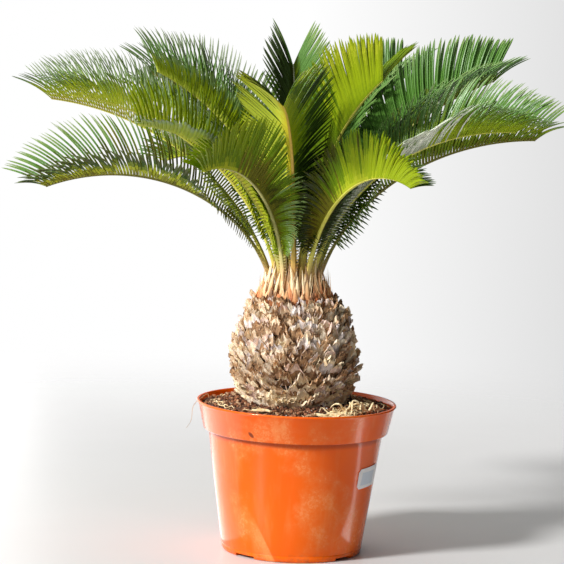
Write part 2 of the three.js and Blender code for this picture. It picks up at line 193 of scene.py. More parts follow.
# %% Camera
CAMERA = {"at": (0, -2478, 535), "pitch": 6.12, "yaw": -0.44, "roll": 2.14}  # mm and degrees
IMAGE_SIDE = 564  # pixels
FOCAL = 2500  # pixels
SENSOR = 36  # mm
FARTHEST = 100  # metres

pitch, yaw, roll = (math.radians(CAMERA[key]) for key in ("pitch", "yaw", "roll"))
forward = Vector((math.sin(yaw) * math.cos(pitch), math.cos(yaw) * math.cos(pitch), -math.sin(pitch)))
level = Vector((math.cos(yaw), -math.sin(yaw), 0))
above = level.cross(forward)
right = level * math.cos(roll) + above * math.sin(roll)
top = above * math.cos(roll) - level * math.sin(roll)

lens = bpy.data.cameras.new("studio_camera")
lens.sensor_width = SENSOR
lens.lens = FOCAL / IMAGE_SIDE * SENSOR
lens.clip_end = FARTHEST
camera = bpy.data.objects.new("studio_camera", lens)
facing = Matrix((right, top, -forward)).transposed().to_4x4()
camera.matrix_world = Matrix.Translation(Vector(CAMERA["at"]) * MM) @ facing
bpy.context.scene.collection.objects.link(camera)
bpy.context.scene.camera = camera
print("lens:", round(lens.lens, 1), "mm")

# %% [markdown]
# ## Shader sums
# A finish is a web of nodes. Written as sums it reads like a recipe, so a wire knows how to add,
# subtract, multiply and compare: each operator adds one Math node. Colours never go through a
# Math node, which would turn them grey, but through a Mix node.

# %% Wire
class Wire:
    """One output socket. Sums of wires and numbers add the Math nodes that work them out."""

    def __init__(self, finish, socket):
        self.finish, self.socket = finish, socket

    def sum(self, operation, a, b):
        return self.finish.node("Math", {"operation": operation}, {0: a, 1: b})

    def __add__(self, other):
        return self.sum("ADD", self, other)

    def __sub__(self, other):
        return self.sum("SUBTRACT", self, other)

    def __rsub__(self, other):
        return self.sum("SUBTRACT", other, self)

    def __mul__(self, other):
        return self.sum("MULTIPLY", self, other)

    def __gt__(self, other):
        return self.sum("GREATER_THAN", self, other)

    def __lt__(self, other):
        return self.sum("LESS_THAN", self, other)

    __radd__ = __add__
    __rmul__ = __mul__


print("sums that a wire knows: + - * > <")

# %% [markdown]
# A finish is a material with a few helpers of its own: where a point lies, soft noise, a smooth
# step, a blend of two colours and a small relief. All of them go through one method, node(),
# which sets what a node is before it fills its sockets.

# %% Finish
class Finish:
    """A material on the bench. node() adds any node, and surface() closes the recipe."""

    def __init__(self, name, shelf=None):
        """shelf is where Blender keeps it: the materials, or the worlds for a room."""
        self.material = (bpy.data.materials if shelf is None else shelf).new(name)
        self.material.use_nodes = True
        self.tree = self.material.node_tree
        self.tree.nodes.clear()

    def node(self, kind, settings=None, sockets=None, output=0):
        """settings are set first; sockets takes numbers, colours or wires by name or number."""
        made = self.tree.nodes.new("ShaderNode" + kind)
        for key, value in (settings or {}).items():
            setattr(made, key, value)
        for key, value in (sockets or {}).items():
            if isinstance(value, Wire):
                self.tree.links.new(value.socket, made.inputs[key])
            else:
                made.inputs[key].default_value = value
        return Wire(self, made.outputs[output]) if made.outputs else None

    def place(self, stretch=(1, 1, 1)):
        """Where a point lies on its object, in metres, with each axis multiplied."""
        spot = self.node("TexCoord", output="Object")
        return self.node("VectorMath", {"operation": "MULTIPLY"}, {0: spot, 1: stretch})

    def axis(self, name):
        """Where a point lies along X, Y or Z, in metres."""
        return self.node("SeparateXYZ", {}, {0: self.place()}, output=name)

    def noise(self, scale, detail, stretch=(1, 1, 1), rough=0.55):
        """Soft random patches. scale is how many there are in a metre."""
        sockets = {"Vector": self.place(stretch), "Scale": scale, "Detail": detail, "Roughness": rough}
        return self.node("TexNoise", {}, sockets)

    def steps(self, value, low, high):
        """0 below low, 1 above high and smooth between."""
        settings = {"interpolation_type": "SMOOTHSTEP"}
        return self.node("MapRange", settings, {"Value": value, "From Min": low, "From Max": high})

    def blend(self, mask, a, b):
        """Colour a where the mask is 0, colour b where it is 1."""
        return self.node("Mix", {"data_type": "RGBA"}, {0: mask, 6: a, 7: b}, output=2)

    def bump(self, height, strength, depth):
        """Small relief: depth is in millimetres."""
        sockets = {"Height": height, "Strength": strength, "Distance": depth * MM}
        return self.node("Bump", {}, sockets)

    def surface(self, **sockets):
        """The finished material. A socket's name is written with _ for each space."""
        names = {key.replace("_", " "): value for key, value in sockets.items()}
        shader = self.node("BsdfPrincipled", {}, names)
        self.node("OutputMaterial", {}, {"Surface": shader})
        return self.material


print("finishes ready: every node goes through node()")

# %% [markdown]
# Colours are written as on a paint chart, from 0 to 255. A chart is made for the eye, but light
# adds up in linear values, so each number is turned into linear light first.

# %% Paint
def paint(red, green, blue):
    """A colour from the 0 to 255 values of a paint chart, as linear light."""
    parts = [(c / 255) ** 2.2 for c in (red, green, blue)]
    return (*parts, 1.0)


print("mid grey on the chart is", round(paint(119, 119, 119)[0], 3), "in linear light")

# %% [markdown]
# ## Studio
# The floor is a plain pale square that lies a hair under the pot. It could go on to the horizon,
# but then an edge would show behind the plant. So it turns see-through far off, where the plain
# wall behind takes over.

# %% Floor
FLOOR = {"side": 3.0, "fade_from": 0.45, "fade_to": 1.5, "below": 0.0002}  # metres
f = Finish("studio_floor")
pale = f.blend(f.noise(6, 2), paint(216, 215, 213), paint(222, 221, 220))
far_off = f.node("VectorMath", {"operation": "LENGTH"}, {0: f.place()}, output="Value")
faded = f.steps(far_off, FLOOR["fade_from"], FLOOR["fade_to"])
top_coat = f.node("BsdfPrincipled", {}, {"Base Color": pale, "Roughness": 0.34})
see_through = f.node("BsdfTransparent")
fading = f.node("MixShader", {}, {0: faded, 1: top_coat, 2: see_through})
f.node("OutputMaterial", {}, {"Surface": fading})

plane = bpy.data.meshes.new("studio_floor")
s = FLOOR["side"]
plane.from_pydata([(-s, -s, 0), (s, -s, 0), (s, s, 0), (-s, s, 0)], [], [(0, 1, 2, 3)])
plane.materials.append(f.material)
floor = bpy.data.objects.new("studio_floor", plane)
floor.location.z = -FLOOR["below"]
bpy.context.scene.collection.objects.link(floor)
floor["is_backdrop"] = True
print("floor:", 2 * s, "m wide")

# %% [markdown]
# One soft sun from the left stands for a big window. A bright screen stands behind on the left
# and pales the edges that turn to it. Both are aimed by direction: an azimuth round the plant
# and an elevation above the floor.

# %% Window and screen
SUN = {"azimuth": 218, "elevation": 34, "strength": 3.9, "angle": 10}  # directions in degrees
SCREEN = {"azimuth": 130, "distance": 2.4, "height": 0.8, "wide": 2.6, "tall": 1.9, "power": 26}


def lamp(name, kind, azimuth, elevation, distance=0.0):
    """A lamp that shines on the plant from a direction."""
    data = bpy.data.lights.new(name, kind)
    made = bpy.data.objects.new(name, data)
    a, e = math.radians(azimuth), math.radians(elevation)
    toward = Vector((math.cos(a) * math.cos(e), math.sin(a) * math.cos(e), math.sin(e)))
    made.rotation_euler = toward.to_track_quat("Z", "Y").to_euler()
    made.location = toward * distance
    bpy.context.scene.collection.objects.link(made)
    return made


def make_panel(made, long, wide, power):
    """Gives an area lamp its size in metres and its power, and hides it from the camera."""
    made.data.shape = "RECTANGLE"
    made.data.size, made.data.size_y, made.data.energy = long, wide, power
    made.visible_camera = False


sun = lamp("window", "SUN", SUN["azimuth"], SUN["elevation"])
sun.data.energy = SUN["strength"]
sun.data.angle = math.radians(SUN["angle"])
screen = lamp("screen", "AREA", SCREEN["azimuth"], 0, SCREEN["distance"])
screen.location.z = SCREEN["height"]
make_panel(screen, SCREEN["wide"], SCREEN["tall"], SCREEN["power"])
print("lamps:", sun.name, screen.name)

# %% [markdown]
# The room is brighter on the window's side. The wall is only what the camera sees: the light in
# the room is set apart from it, so that shadows keep their depth. A light path node tells the
# camera's own rays from all others.

# %% Room
# brightness at the left and on the right, and the places between which it changes
ROOM = {"window": 1.0, "far": 0.01, "from": -1, "to": 0.6}
# the wall greys from white towards the right: painted shade of a wall lit from the window's side
WALL = {"white": 1.0, "grey": 0.7, "from": 0.0, "to": 0.13}  # what the camera sees behind
WHITE = (1, 1, 1, 1)
room = Finish("room", bpy.data.worlds)
outlook = room.node("TexCoord", output="Generated")
to_right = room.node("SeparateXYZ", {}, {0: outlook}, output="X")


def background(start, end, left, right):
    """Plain white light, whose strength goes from left to right between two places."""
    ends = {"Value": to_right, "From Min": start, "From Max": end, "To Min": left, "To Max": right}
    strength = room.node("MapRange", {}, ends)
    return room.node("Background", {}, {"Color": WHITE, "Strength": strength})


glow = background(ROOM["from"], ROOM["to"], ROOM["window"], ROOM["far"])
backdrop = background(WALL["from"], WALL["to"], WALL["white"], WALL["grey"])
straight = room.node("LightPath", output="Is Camera Ray")
both = room.node("MixShader", {}, {0: straight, 1: glow, 2: backdrop})
room.node("OutputWorld", {}, {"Surface": both})
bpy.context.scene.world = room.material
bpy.context.scene.view_settings.view_transform = "Standard"
print("room:", ROOM)

# %% [markdown]
# ## The pot
# A nursery pot is thin injection-moulded plastic: a conical wall, a wider band at the top that
# stiffens it, a rolled lip, and slots under the foot that let water out. A profile turned round
# an axis gives the shell, as on a lathe. The slots are cut with a Boolean modifier, because they
# are square and the shell is round.

# %% Pot sizes
POT = {  # mm, and degrees for slot_turn and crease
    "height": 150, "rim": 100, "band": 92.5, "band_z": 122, "wall_top": 87.5,
    "foot": 70, "wall": 1.8, "floor": 2.4, "sides": 224,
    "slots": 4, "slot_turn": -131, "slot_wide": 24, "slot_high": 3, "slot_deep": 8,
    "lip_tall": 2.2, "lip_out": 1.2, "line_z": 6.5, "crease": 40,
}


def wall_radius(z):
    """Outside radius of the pot's wall, under the band."""
    return mix(POT["foot"], POT["wall_top"], z / POT["band_z"])


def band_radius(z):
    """Outside radius of the band."""
    rise = (z - POT["band_z"]) / (POT["height"] - POT["band_z"])
    return mix(POT["band"], POT["rim"] - POT["lip_out"], rise)


print("pot:", 2 * POT["rim"], "mm across and", POT["height"], "mm high")

# %% [markdown]
# The profile goes from the middle of the underside out to the foot, up the wall, over the lip and
# down inside. Each point has a radius and a height. Small steps make the moulded line near the
# foot, the step out to the band and the roll of the lip.

# %% Pot profile
line_z, band, wall = POT["line_z"], POT["band"], POT["wall"]
rim, height, lip_z = POT["rim"], POT["height"], POT["height"] - POT["lip_tall"]
outside = [
    (0, 0), (POT["foot"] - 2.0, 0), (POT["foot"] - 0.6, 0.3), (wall_radius(1.6) - 0.1, 1.6),
    (wall_radius(line_z - 0.8), line_z - 0.8), (wall_radius(line_z) - 0.45, line_z),
    (wall_radius(line_z + 0.8) - 0.05, line_z + 0.8), (wall_radius(60), 60),
    (wall_radius(119.5), 119.5), (wall_radius(120.6) + 0.5, 120.8), (band - 1.0, 121.3),
    (band, 122.2), (band_radius(lip_z - 1.2), lip_z - 1.2),
]
lip = [
    (rim - 0.5, lip_z), (rim, lip_z + 0.7), (rim, height - 0.8), (rim - 0.5, height - 0.1),
    (rim - 1.3, height), (rim - 2.4, height - 0.1), (rim - 3.0, height - 0.8),
]
inside = [
    (band_radius(lip_z - 2) - wall, lip_z - 2), (band - wall, 123.6),
    (wall_radius(120) - wall, 121.4), (wall_radius(4) - wall, 4.4),
    (wall_radius(2.4) - wall - 1.6, POT["floor"]), (0, POT["floor"]),
]
print("pot profile:", len(outside + lip + inside), "points")

# %% [markdown]
# The finish is what makes this pot: bright orange, glossy, and never quite clean. Dust dries on
# it in cloudy patches, moulded plastic has faint upright streaks, and handling leaves scuffs
# that are paler and duller. Noise makes the patches, and the same patches drive the roughness,
# so that dust is dull where it is pale.

# %% Pot plastic
FLECK = {"x": -0.0428, "z": 0.1278, "small": 5e-6, "large": 1.9e-5}
SCUFF = {"x": -0.015, "slope": 0.53, "top": 0.05}


def pot_plastic():
    f = Finish("pot_plastic")
    x, y, z = (f.axis(name) for name in "XYZ")
    cloud = f.steps(f.noise(15, 5, rough=0.62), 0.5, 0.7)
    streak = f.steps(f.noise(30, 3, stretch=(3, 3, 0.3)), 0.5, 0.8)
    grain = f.steps(f.noise(300, 5, rough=0.8), 0.42, 0.66)
    # a pale wedge low on the front: its right edge is sharp and slants, its left edge fades
    aside = x - SCUFF["x"] + z * SCUFF["slope"]
    wedge = f.steps(aside, -0.017, -0.002) * (1 - f.steps(aside, -0.001, 0.0012))
    scuff = wedge * (1 - f.steps(z, 0.02, SCUFF["top"])) * (y < 0)
    haze = cloud * (0.16 + grain * 0.36) + streak * 0.14 + scuff * (0.3 + cloud * 0.3 + grain * 0.2)
    orange = f.blend(f.noise(9, 2), paint(238, 80, 0), paint(248, 114, 0))
    dust_and_shade = f.blend(haze, orange, paint(252, 184, 116))
    # painted shade under the band, with some grime: a dark line where the band's shadow falls
    band_shade_and_grime = f.steps(z, 0.1135, 0.1195) * (1 - f.steps(z, 0.1210, 0.1222))
    dust_and_shade = f.blend(band_shade_and_grime * 0.7, dust_and_shade, paint(150, 52, 12))
    low = 1 - f.steps(z, 0.001, 0.012)
    soiled_and_shaded = f.blend(low * f.steps(f.noise(150, 4), 0.4, 0.7) * 0.5, dust_and_shade, paint(150, 80, 50))
    # a small slanted fleck under the lip, twice as long as it is wide
    along = (x - FLECK["x"]) * 0.7 - (z - FLECK["z"]) * 0.7
    across = (x - FLECK["x"]) * 1.5 + (z - FLECK["z"]) * 1.5
    near = 1 - f.steps(along * along + across * across, FLECK["small"], FLECK["large"])
    marked = f.blend(near * (y < 0) * 0.85, soiled_and_shaded, paint(104, 44, 24))
    scratch = f.steps(f.noise(70, 6, stretch=(1, 1, 6), rough=0.7), 0.6, 0.64) * 0.3
    skin = f.bump(f.noise(240, 2) + scratch, 0.12, 0.25)
    gloss = 0.16 + haze * 0.5
    return f.surface(Base_Color=marked, Roughness=gloss, Normal=skin, Specular_IOR_Level=0.15,
                     Coat_Weight=0.2, Coat_Roughness=0.1)


POT_FINISH = pot_plastic()
print("finish:", POT_FINISH.name)

# %% [markdown]
# Turning the profile gives a ring of corners for each of its points, and one corner where it
# meets the axis. A box cut out of the shell is the other tool that the pot needs.

# %% Turn the pot
def turned(profile, sides):
    """Corners and faces of a closed profile turned round the axis, both ends on the axis."""
    turn = around(circle(sides))
    middle = [[0, 0, profile[0][1]], [0, 0, profile[-1][1]]]
    rings = [r * turn + z * UPRIGHT for r, z in profile[1:-1]]
    last = 2 + (len(rings) - 1) * sides
    faces = [tuple(2 + i for i in face) for face in ring_faces(len(rings), sides, closed=False)]
    for i in range(sides):
        j = (i + 1) % sides
        faces += [(0, 2 + j, 2 + i), (1, last + i, last + j)]
    return np.concatenate([middle, *rings]), faces


def cut_boxes(piece, boxes):
    """Cuts boxes out of a piece. Each is its corners in mm."""
    cutter = bpy.data.meshes.new("cutter")
    sides = [(0, 1, 3, 2), (4, 6, 7, 5), (0, 4, 5, 1), (2, 3, 7, 6), (0, 2, 6, 4), (1, 5, 7, 3)]
    corners = np.concatenate(boxes) * MM
    faces = [tuple(i + 8 * n for i in side) for n in range(len(boxes)) for side in sides]
    cutter.from_pydata(corners.tolist(), [], faces)
    tool = bpy.data.objects.new("cutter", cutter)
    bpy.context.scene.collection.objects.link(tool)
    cut = piece.modifiers.new("slots", "BOOLEAN")
    cut.object, cut.operation, cut.solver = tool, "DIFFERENCE", "EXACT"
    view = bpy.context.evaluated_depsgraph_get()
    piece.data = bpy.data.meshes.new_from_object(piece.evaluated_get(view), depsgraph=view)
    piece.modifiers.clear()
    bpy.data.objects.remove(tool)


pot = Heap("pot_shell", "pot_plastic", [POT_FINISH])
pot.add(*turned(outside + lip + inside, POT["sides"]))
pot_piece = pot.make("pot", crease=POT["crease"])

# %% [markdown]
# Each slot is a box that straddles the wall and the underside, so that it takes out the corner
# between them. The smooth edges are marked again, because the cut makes a new mesh.

# %% Cut the slots
ENDS = (-1, 1)
slots = []
for n in range(POT["slots"]):
    turn = math.radians(POT["slot_turn"] + 360 / POT["slots"] * n)
    ahead, sideways = around(turn), around(turn + math.pi / 2)
    slots.append(np.array([
        ahead * (POT["foot"] + x * POT["slot_deep"])
        + sideways * y * POT["slot_wide"] / 2
        + UPRIGHT * z * POT["slot_high"]
        for x in ENDS for y in ENDS for z in ENDS
    ]))
cut_boxes(pot_piece, slots)
pot_piece.data.set_sharp_from_angle(angle=math.radians(POT["crease"]))
print("pot after cutting:", len(pot_piece.data.polygons), "faces")

# %% [markdown]
# The wall leans outwards, so what it mirrors is the floor close to it. Two reflectors lie there
# and face upwards: a wide one behind on the left pales the pot's edge, and a narrow one on the
# right draws an upright line. They are linked to the pot and only show in its gloss.

# %% Reflectors for the pot
REFLECTOR_Z = 4  # mm above the floor
REFLECTORS = {  # middle in metres, azimuth of the long side, its length, its width, power
    "sheen": (-0.175, 0.15, 90, 0.42, 0.2, 0.36),
    "glint": (0.245, -0.002, 14, 0.34, 0.022, 0.08),
}
only_pot = bpy.data.collections.new("glossy_pot")
only_pot.objects.link(pot_piece)
for name, (x, y, azimuth, long, wide, power) in REFLECTORS.items():
    panel = lamp(name, "AREA", 0, 0)
    panel.rotation_euler = (math.pi, 0, math.radians(azimuth))
    panel.location = (x, y, REFLECTOR_Z * MM)
    make_panel(panel, long, wide, power)
    panel.visible_diffuse = False
    panel.light_linking.receiver_collection = only_pot
print("reflectors:", ", ".join(REFLECTORS))

# %% [markdown]
# ## Potting mix
# The mix is damp bark and peat. Seen close it is not a surface but a crowd of crumbs, with white
# grains of perlite between them. So a plug with a rough top fills the pot, and loose crumbs lie
# on it. Four finishes are enough: peat, two kinds of bark, and perlite.

# %% Potting mix finishes
def crumbly(name, dark, light, size=260):
    """Earthy finishes: two tones in small patches, dull, with a coarse relief."""
    f = Finish(name)
    patch = f.steps(f.noise(size, 5, rough=0.65), 0.3, 0.72)
    tone = f.blend(patch, paint(*dark), paint(*light))
    return f.surface(Base_Color=tone, Roughness=0.85, Normal=f.bump(f.noise(size * 2, 4), 0.6, 0.8))


PEAT = crumbly("peat", (38, 22, 14), (116, 72, 48))
BARK = crumbly("bark_chip", (96, 54, 34), (182, 122, 84))
PALE_BARK = crumbly("pale_bark", (150, 114, 84), (214, 178, 140))
PERLITE = crumbly("perlite", (200, 194, 182), (240, 238, 232), size=500)
print("mix finishes:", PEAT.name, BARK.name, PALE_BARK.name, PERLITE.name)

# %% [markdown]
# The plug is a pile of rings: two down the inside of the pot, and then the top, ring after ring
# towards the trunk. The top is lower at the wall, heaped in the middle, rippled and gritty.

# %% Plug of potting mix
SOIL = {"edge": 144.5, "heap": 150.2, "heap_r": 60, "gap": 2.15, "uneven": 0.8, "clear_r": 50}
PLUG = {"sides": 160, "rings": 26, "middle_r": 30, "grit": 0.6}
soil_edge_r = band_radius(SOIL["edge"]) - SOIL["gap"]


def soil_height(r):
    """The top of the mix: low at the wall, heaped against the trunk."""
    down = share((r - SOIL["heap_r"]) / (soil_edge_r - SOIL["heap_r"]))
    return mix(SOIL["heap"], SOIL["edge"], down)


def ripple(x, y):
    """Uneven ground: a few waves of different lengths laid over each other."""
    return (
        1.0 * np.sin(0.16 * x + 0.4) * np.cos(0.19 * y)
        + 0.6 * np.sin(0.41 * x - 0.33 * y + 1.0)
        + 0.4 * np.sin(0.83 * y + 0.71 * x)
    )


def ground(r, x, y):
    """The height of the mix at a place, r from the axis."""
    return soil_height(r) + SOIL["uneven"] * ripple(x, y)


plug = Heap("soil_plug", "potting_mix", [PEAT])
turn = around(circle(PLUG["sides"]))
chance = np.random.RandomState(3)
body = [r * turn + z * UPRIGHT for r, z in (
    (wall_radius(POT["floor"]) - 3.9, POT["floor"] + 0.3),
    (wall_radius(119) - SOIL["gap"], 119),
    (soil_edge_r - 0.2, SOIL["edge"] - 4),
)]
for r in np.linspace(soil_edge_r, PLUG["middle_r"], PLUG["rings"]):
    spot = r * turn
    grit = chance.uniform(-PLUG["grit"], PLUG["grit"], PLUG["sides"])
    z = ground(r, spot[:, 0], spot[:, 1]) + grit
    body.append(spot + z[:, None] * UPRIGHT)
plug.add_rings(body)
plug.make("soil", crease=60)

# %% [markdown]
# Each crumb is a lump with twenty faces, squashed and turned at random. Crumbs are scattered with
# a seeded random generator, so that every run gives the same pot. Small ones are much more
# common than large ones. A few large flat ones are chips of bark.

# %% Crumbs
GOLDEN = (1 + 5 ** 0.5) / 2
LUMP = unit(np.array([
    (-1, GOLDEN, 0), (1, GOLDEN, 0), (-1, -GOLDEN, 0), (1, -GOLDEN, 0),
    (0, -1, GOLDEN), (0, 1, GOLDEN), (0, -1, -GOLDEN), (0, 1, -GOLDEN),
    (GOLDEN, 0, -1), (GOLDEN, 0, 1), (-GOLDEN, 0, -1), (-GOLDEN, 0, 1),
], float))
LUMP_FACES = [
    (0, 11, 5), (0, 5, 1), (0, 1, 7), (0, 7, 10), (0, 10, 11), (1, 5, 9), (5, 11, 4),
    (11, 10, 2), (10, 7, 6), (7, 1, 8), (3, 9, 4), (3, 4, 2), (3, 2, 6), (3, 6, 8),
    (3, 8, 9), (4, 9, 5), (2, 4, 11), (6, 2, 10), (8, 6, 7), (9, 8, 1),
]


def turn_matrix(chance):
    """A random turn in space."""
    q, _ = np.linalg.qr(chance.normal(size=(3, 3)))
    return q * np.sign(np.linalg.det(q))


def lump(chance, middle, size):
    """A knobbly lump: size is its three half widths."""
    corners = LUMP * chance.uniform(0.7, 1.15, (12, 1)) * size
    return corners @ turn_matrix(chance).T + middle


def scatter(heap, chance, count, small, large, flat=1.0, tints=(0,)):
    """Lumps on the ground between the trunk and the pot's wall.

    A finish number that is repeated in tints is dealt more often.
    """
    for _ in range(count):
        r = math.sqrt(chance.uniform(SOIL["clear_r"]**2, (soil_edge_r - 2) ** 2))
        a = chance.uniform(0, 2 * math.pi)
        size = small * (large / small) ** (chance.uniform() ** 2)
        x, y = r * math.cos(a), r * math.sin(a)
        z = ground(r, x, y) + 0.35 * size
        shape = size * np.array([1, chance.uniform(0.5, 1), flat * chance.uniform(0.5, 0.9)])
        heap.add(lump(chance, (x, y, z), shape), LUMP_FACES, int(chance.choice(tints)))


crumbs = Heap("soil_crumbs", "potting_mix", [PEAT, BARK, PALE_BARK])
scatter(crumbs, np.random.RandomState(5), count=2400, small=0.8, large=2.8, tints=(0, 0, 0, 1, 1, 2))
scatter(crumbs, np.random.RandomState(6), count=260, small=2.0, large=4.2, flat=0.5, tints=(0, 1, 1, 2))
crumbs.make(crease=20)
grains = Heap("perlite_grains", "potting_mix", [PERLITE])
scatter(grains, np.random.RandomState(7), count=120, small=0.5, large=1.5)
grains.make(crease=20)

# %% [markdown]
# ## The trunk
# Every leaf that ever grew on a cycad leaves its broken base behind. The bases cover the trunk
# like the scales of a pineapple, in rows that wind both ways. A core gives the egg shape and,
# nearly black, the painted shade between the scales; each scale is its own small closed body
# with a ragged, fibrous top.

# %% Trunk outline
TRUNK = {"foot": 150.5, "top": 253, "lean": -0.022, "foot_x": -3}
OUTLINE_T = [0, 0.07, 0.2, 0.34, 0.48, 0.6, 0.76, 0.9, 1]
OUTLINE_R = [51, 55, 59, 61, 61, 58.5, 53, 47, 40.5]


def trunk_spot(t, angle, off=0.0):
    """A point on the trunk: t is 0 at the soil and 1 at the shoulder."""
    t = t + 0 * np.asarray(angle, float)
    z = mix(TRUNK["foot"], TRUNK["top"], t)
    r = np.interp(t, OUTLINE_T, OUTLINE_R) + off
    shift = TRUNK["foot_x"] + TRUNK["lean"] * (z - TRUNK["foot"])
    return np.stack([shift + r * np.cos(angle), r * np.sin(angle), z], axis=-1)


def trunk_frame(t, angle):
    """Sideways, upwards and outwards on the trunk's surface."""
    up = unit(trunk_spot(t + 0.04, angle) - trunk_spot(t - 0.04, angle))
    side = around(angle + math.pi / 2)
    return side, up, np.cross(side, up)


print("trunk:", TRUNK["top"] - TRUNK["foot"], "mm tall,", 2 * max(OUTLINE_R), "mm across")

# %% [markdown]
# Dry leaf bases are fibrous: the streaks run upwards. Noise that is stretched along Z gives
# streaks, and a second, coarser noise gives weathered patches. Six tones are dealt out scale by
# scale: cream, tan, pinkish, mauve grey and brown, and chalk near the soil. Two darker ones are
# painted shade: nearly black for the hollows of the core, and dark brown for the pockets between
# the scales.

# %% Leaf base finishes
def fibrous(name, dark, light, rough=0.85, stretch=0.3):
    """Fibrous finishes: pale streaks on a darker tone, with a relief of the same streaks."""
    f = Finish(name)
    streak = f.noise(420, 4, stretch=(1, 1, stretch), rough=0.65)
    patch = f.noise(95, 4)
    mask = f.steps(streak * 0.55 + patch * 0.45, 0.36, 0.58)
    relief = f.bump(streak + patch * 0.5, 0.9, 0.9)
    tone = f.blend(mask, paint(*dark), paint(*light))
    return f.surface(Base_Color=tone, Roughness=rough, Normal=relief)


DEALT_TONES = {  # dark, light
    "cream": ((206, 172, 134), (254, 238, 212)),
    "tan": ((196, 158, 122), (252, 228, 194)),
    "pink": ((192, 154, 134), (252, 226, 208)),
    "mauve": ((178, 158, 150), (244, 232, 224)),
    "brown": ((84, 56, 38), (200, 158, 116)),
    "chalk": ((222, 188, 142), (255, 240, 204)),
}
BROWN, CHALK, POCKET_SHADE = 4, 5, 6  # numbers of finishes on the scales
SCALE_FINISHES = [fibrous("scale_" + name, *pair) for name, pair in DEALT_TONES.items()]
# painted shade: the nearly black core between the scales
CORE_SHADE_FINISH = fibrous("core_painted_shade", (20, 13, 9), (60, 42, 30))
# painted shade: the dark brown pockets low on each scale's face
POCKET_SHADE_FINISH = fibrous("scale_pocket_shade", (88, 62, 44), (172, 134, 100))
print("scale finishes:", [finish.name for finish in SCALE_FINISHES])

# %% [markdown]
# The core fills the trunk behind the scales. It is fluted, so that no straight wall shows, and
# nearly black, as painted shade that reads as depth. Near the soil it is pale, as the worn scales
# are.

# %% Core
CORE = {"sides": 96, "rings": 30, "foot": -4.0, "sunk": -8.5, "foot_zone": 0.16, "pale_rings": 5}
FLUTES = {"count": 12, "twist": 9}
core = Heap("trunk_core", "leaf_bases", [CORE_SHADE_FINISH, SCALE_FINISHES[CHALK]])
turn = circle(CORE["sides"])
body = []
for t in np.linspace(0, 1, CORE["rings"]):
    sunk = mix(CORE["foot"], CORE["sunk"], share(t / CORE["foot_zone"]))
    flutes = np.sin(FLUTES["count"] * turn + FLUTES["twist"] * t)
    body.append(trunk_spot(t, turn, sunk + flutes))
body += [trunk_spot(1.0, turn, off) for off in (-20, -35)]
bleached = [int(k < CORE["pale_rings"]) for k in range(len(body) - 1) for _ in turn]
core.add_rings(body, bleached + [0, 0])
core.make("caudex", crease=60)

# %% [markdown]
# A scale is a thin plate: a grid of corners in front, the same grid behind, and an edge that
# joins them. Which corners a face joins depends on the grid alone, so it is worked out once for
# each grid.

# %% Faces of a plate
def plate_faces(across, rows):
    """Front and back faces in pairs, row by row, and then the edge."""
    back = across * rows
    number = np.arange(back).reshape(rows, across)
    cells = (number[:-1, :-1], number[:-1, 1:], number[1:, 1:], number[1:, :-1])
    faces = []
    for a, b, c, d in zip(*(cell.ravel().tolist() for cell in cells)):
        faces += [(a, b, c, d), (back + d, back + c, back + b, back + a)]
    sides = (number[0], number[1:, -1], number[-1, -2::-1], number[-2:0:-1, 0])
    edge = np.concatenate(sides).tolist()
    faces += [(b, a, back + a, back + b) for a, b in zip(edge, edge[1:] + edge[:1])]
    return faces


SCALE_GRID, FLAKE_GRID = (9, 7), (5, 4)  # corners across and up
PLATES = {grid: plate_faces(*grid) for grid in (SCALE_GRID, FLAKE_GRID)}
print("faces on a scale:", len(PLATES[SCALE_GRID]), "and on a flake:", len(PLATES[FLAKE_GRID]))

# %% [markdown]
# A plate becomes a broken leaf base when its top is torn to uneven heights, its sides draw in,
# its middle bulges, and it rises from deep inside the trunk to a top that curls outwards.

# %% One scale
SCALE = {"wide": 18, "tall": 20, "sunk": 0.45, "top": 0.4}


def scale(heap, chance, t, angle, size, point, curl, tints, deep, lean=13, grid=SCALE_GRID, pocket=0.0):
    """A leaf base: a thick plate with a hidden foot and a torn top.

    point is how far its corners are cut away, 0 for a square top. curl is how far the top
    leans out, in mm. tints are the finish numbers of its face and of its frayed top. deep is
    where its foot lies under the surface, and lean is how far it may turn, in degrees. Its face
    is painted dark as shade up to the share pocket of its height, where the scale below leaves
    a pocket.
    """
    side, up, out = trunk_frame(t, angle)
    lean = math.radians(chance.uniform(-lean, lean))
    side, up = side * math.cos(lean) + up * math.sin(lean), up * math.cos(lean) - side * math.sin(lean)
    across, rows = grid
    wide, tall = SCALE["wide"] * size, SCALE["tall"] * size
    c = np.linspace(-1, 1, across)
    v = np.linspace(0, 1, rows)[:, None]
    tops = tall * (1 - point * np.abs(c) ** 1.3) + chance.uniform(-4.2, 2.4, across) * size
    x = c * wide / 2 * (1 - 0.36 * v**2) + chance.uniform(-0.6, 0.6, (rows, across))
    y = v * tops - SCALE["sunk"] * tall
    bulge = (1 - c**2) * chance.uniform(0.6, 2.4) * (1 - 0.4 * v)
    turned_out = c * chance.uniform(-2.0, 2.0) * v
    front = mix(deep, SCALE["top"], v**0.9) + curl * v**4 + bulge + turned_out
    front = front + chance.uniform(-1.1, 1.1, (rows, across))
    back = front - mix(2.4, 1.5, v) * (1 - 0.4 * np.abs(c))
    flat = trunk_spot(t, angle) + x[..., None] * side + y[..., None] * up
    faces = PLATES[grid]

    row = np.arange(rows - 1)[:, None]
    shaded = (row + 0.5) / (rows - 1) < pocket + chance.uniform(-0.12, 0.12, (rows - 1, across - 1))
    tones = np.where(row == rows - 2, tints[1], tints[0])
    if pocket:
        tones = np.where(shaded, POCKET_SHADE, tones)
    tones = np.broadcast_to(tones, shaded.shape)
    worn = np.repeat(tones.ravel(), 2).tolist()
    worn += [tints[1]] * (len(faces) - len(worn))
    heap.add([flat + z[..., None] * out for z in (front, back)], faces, worn)


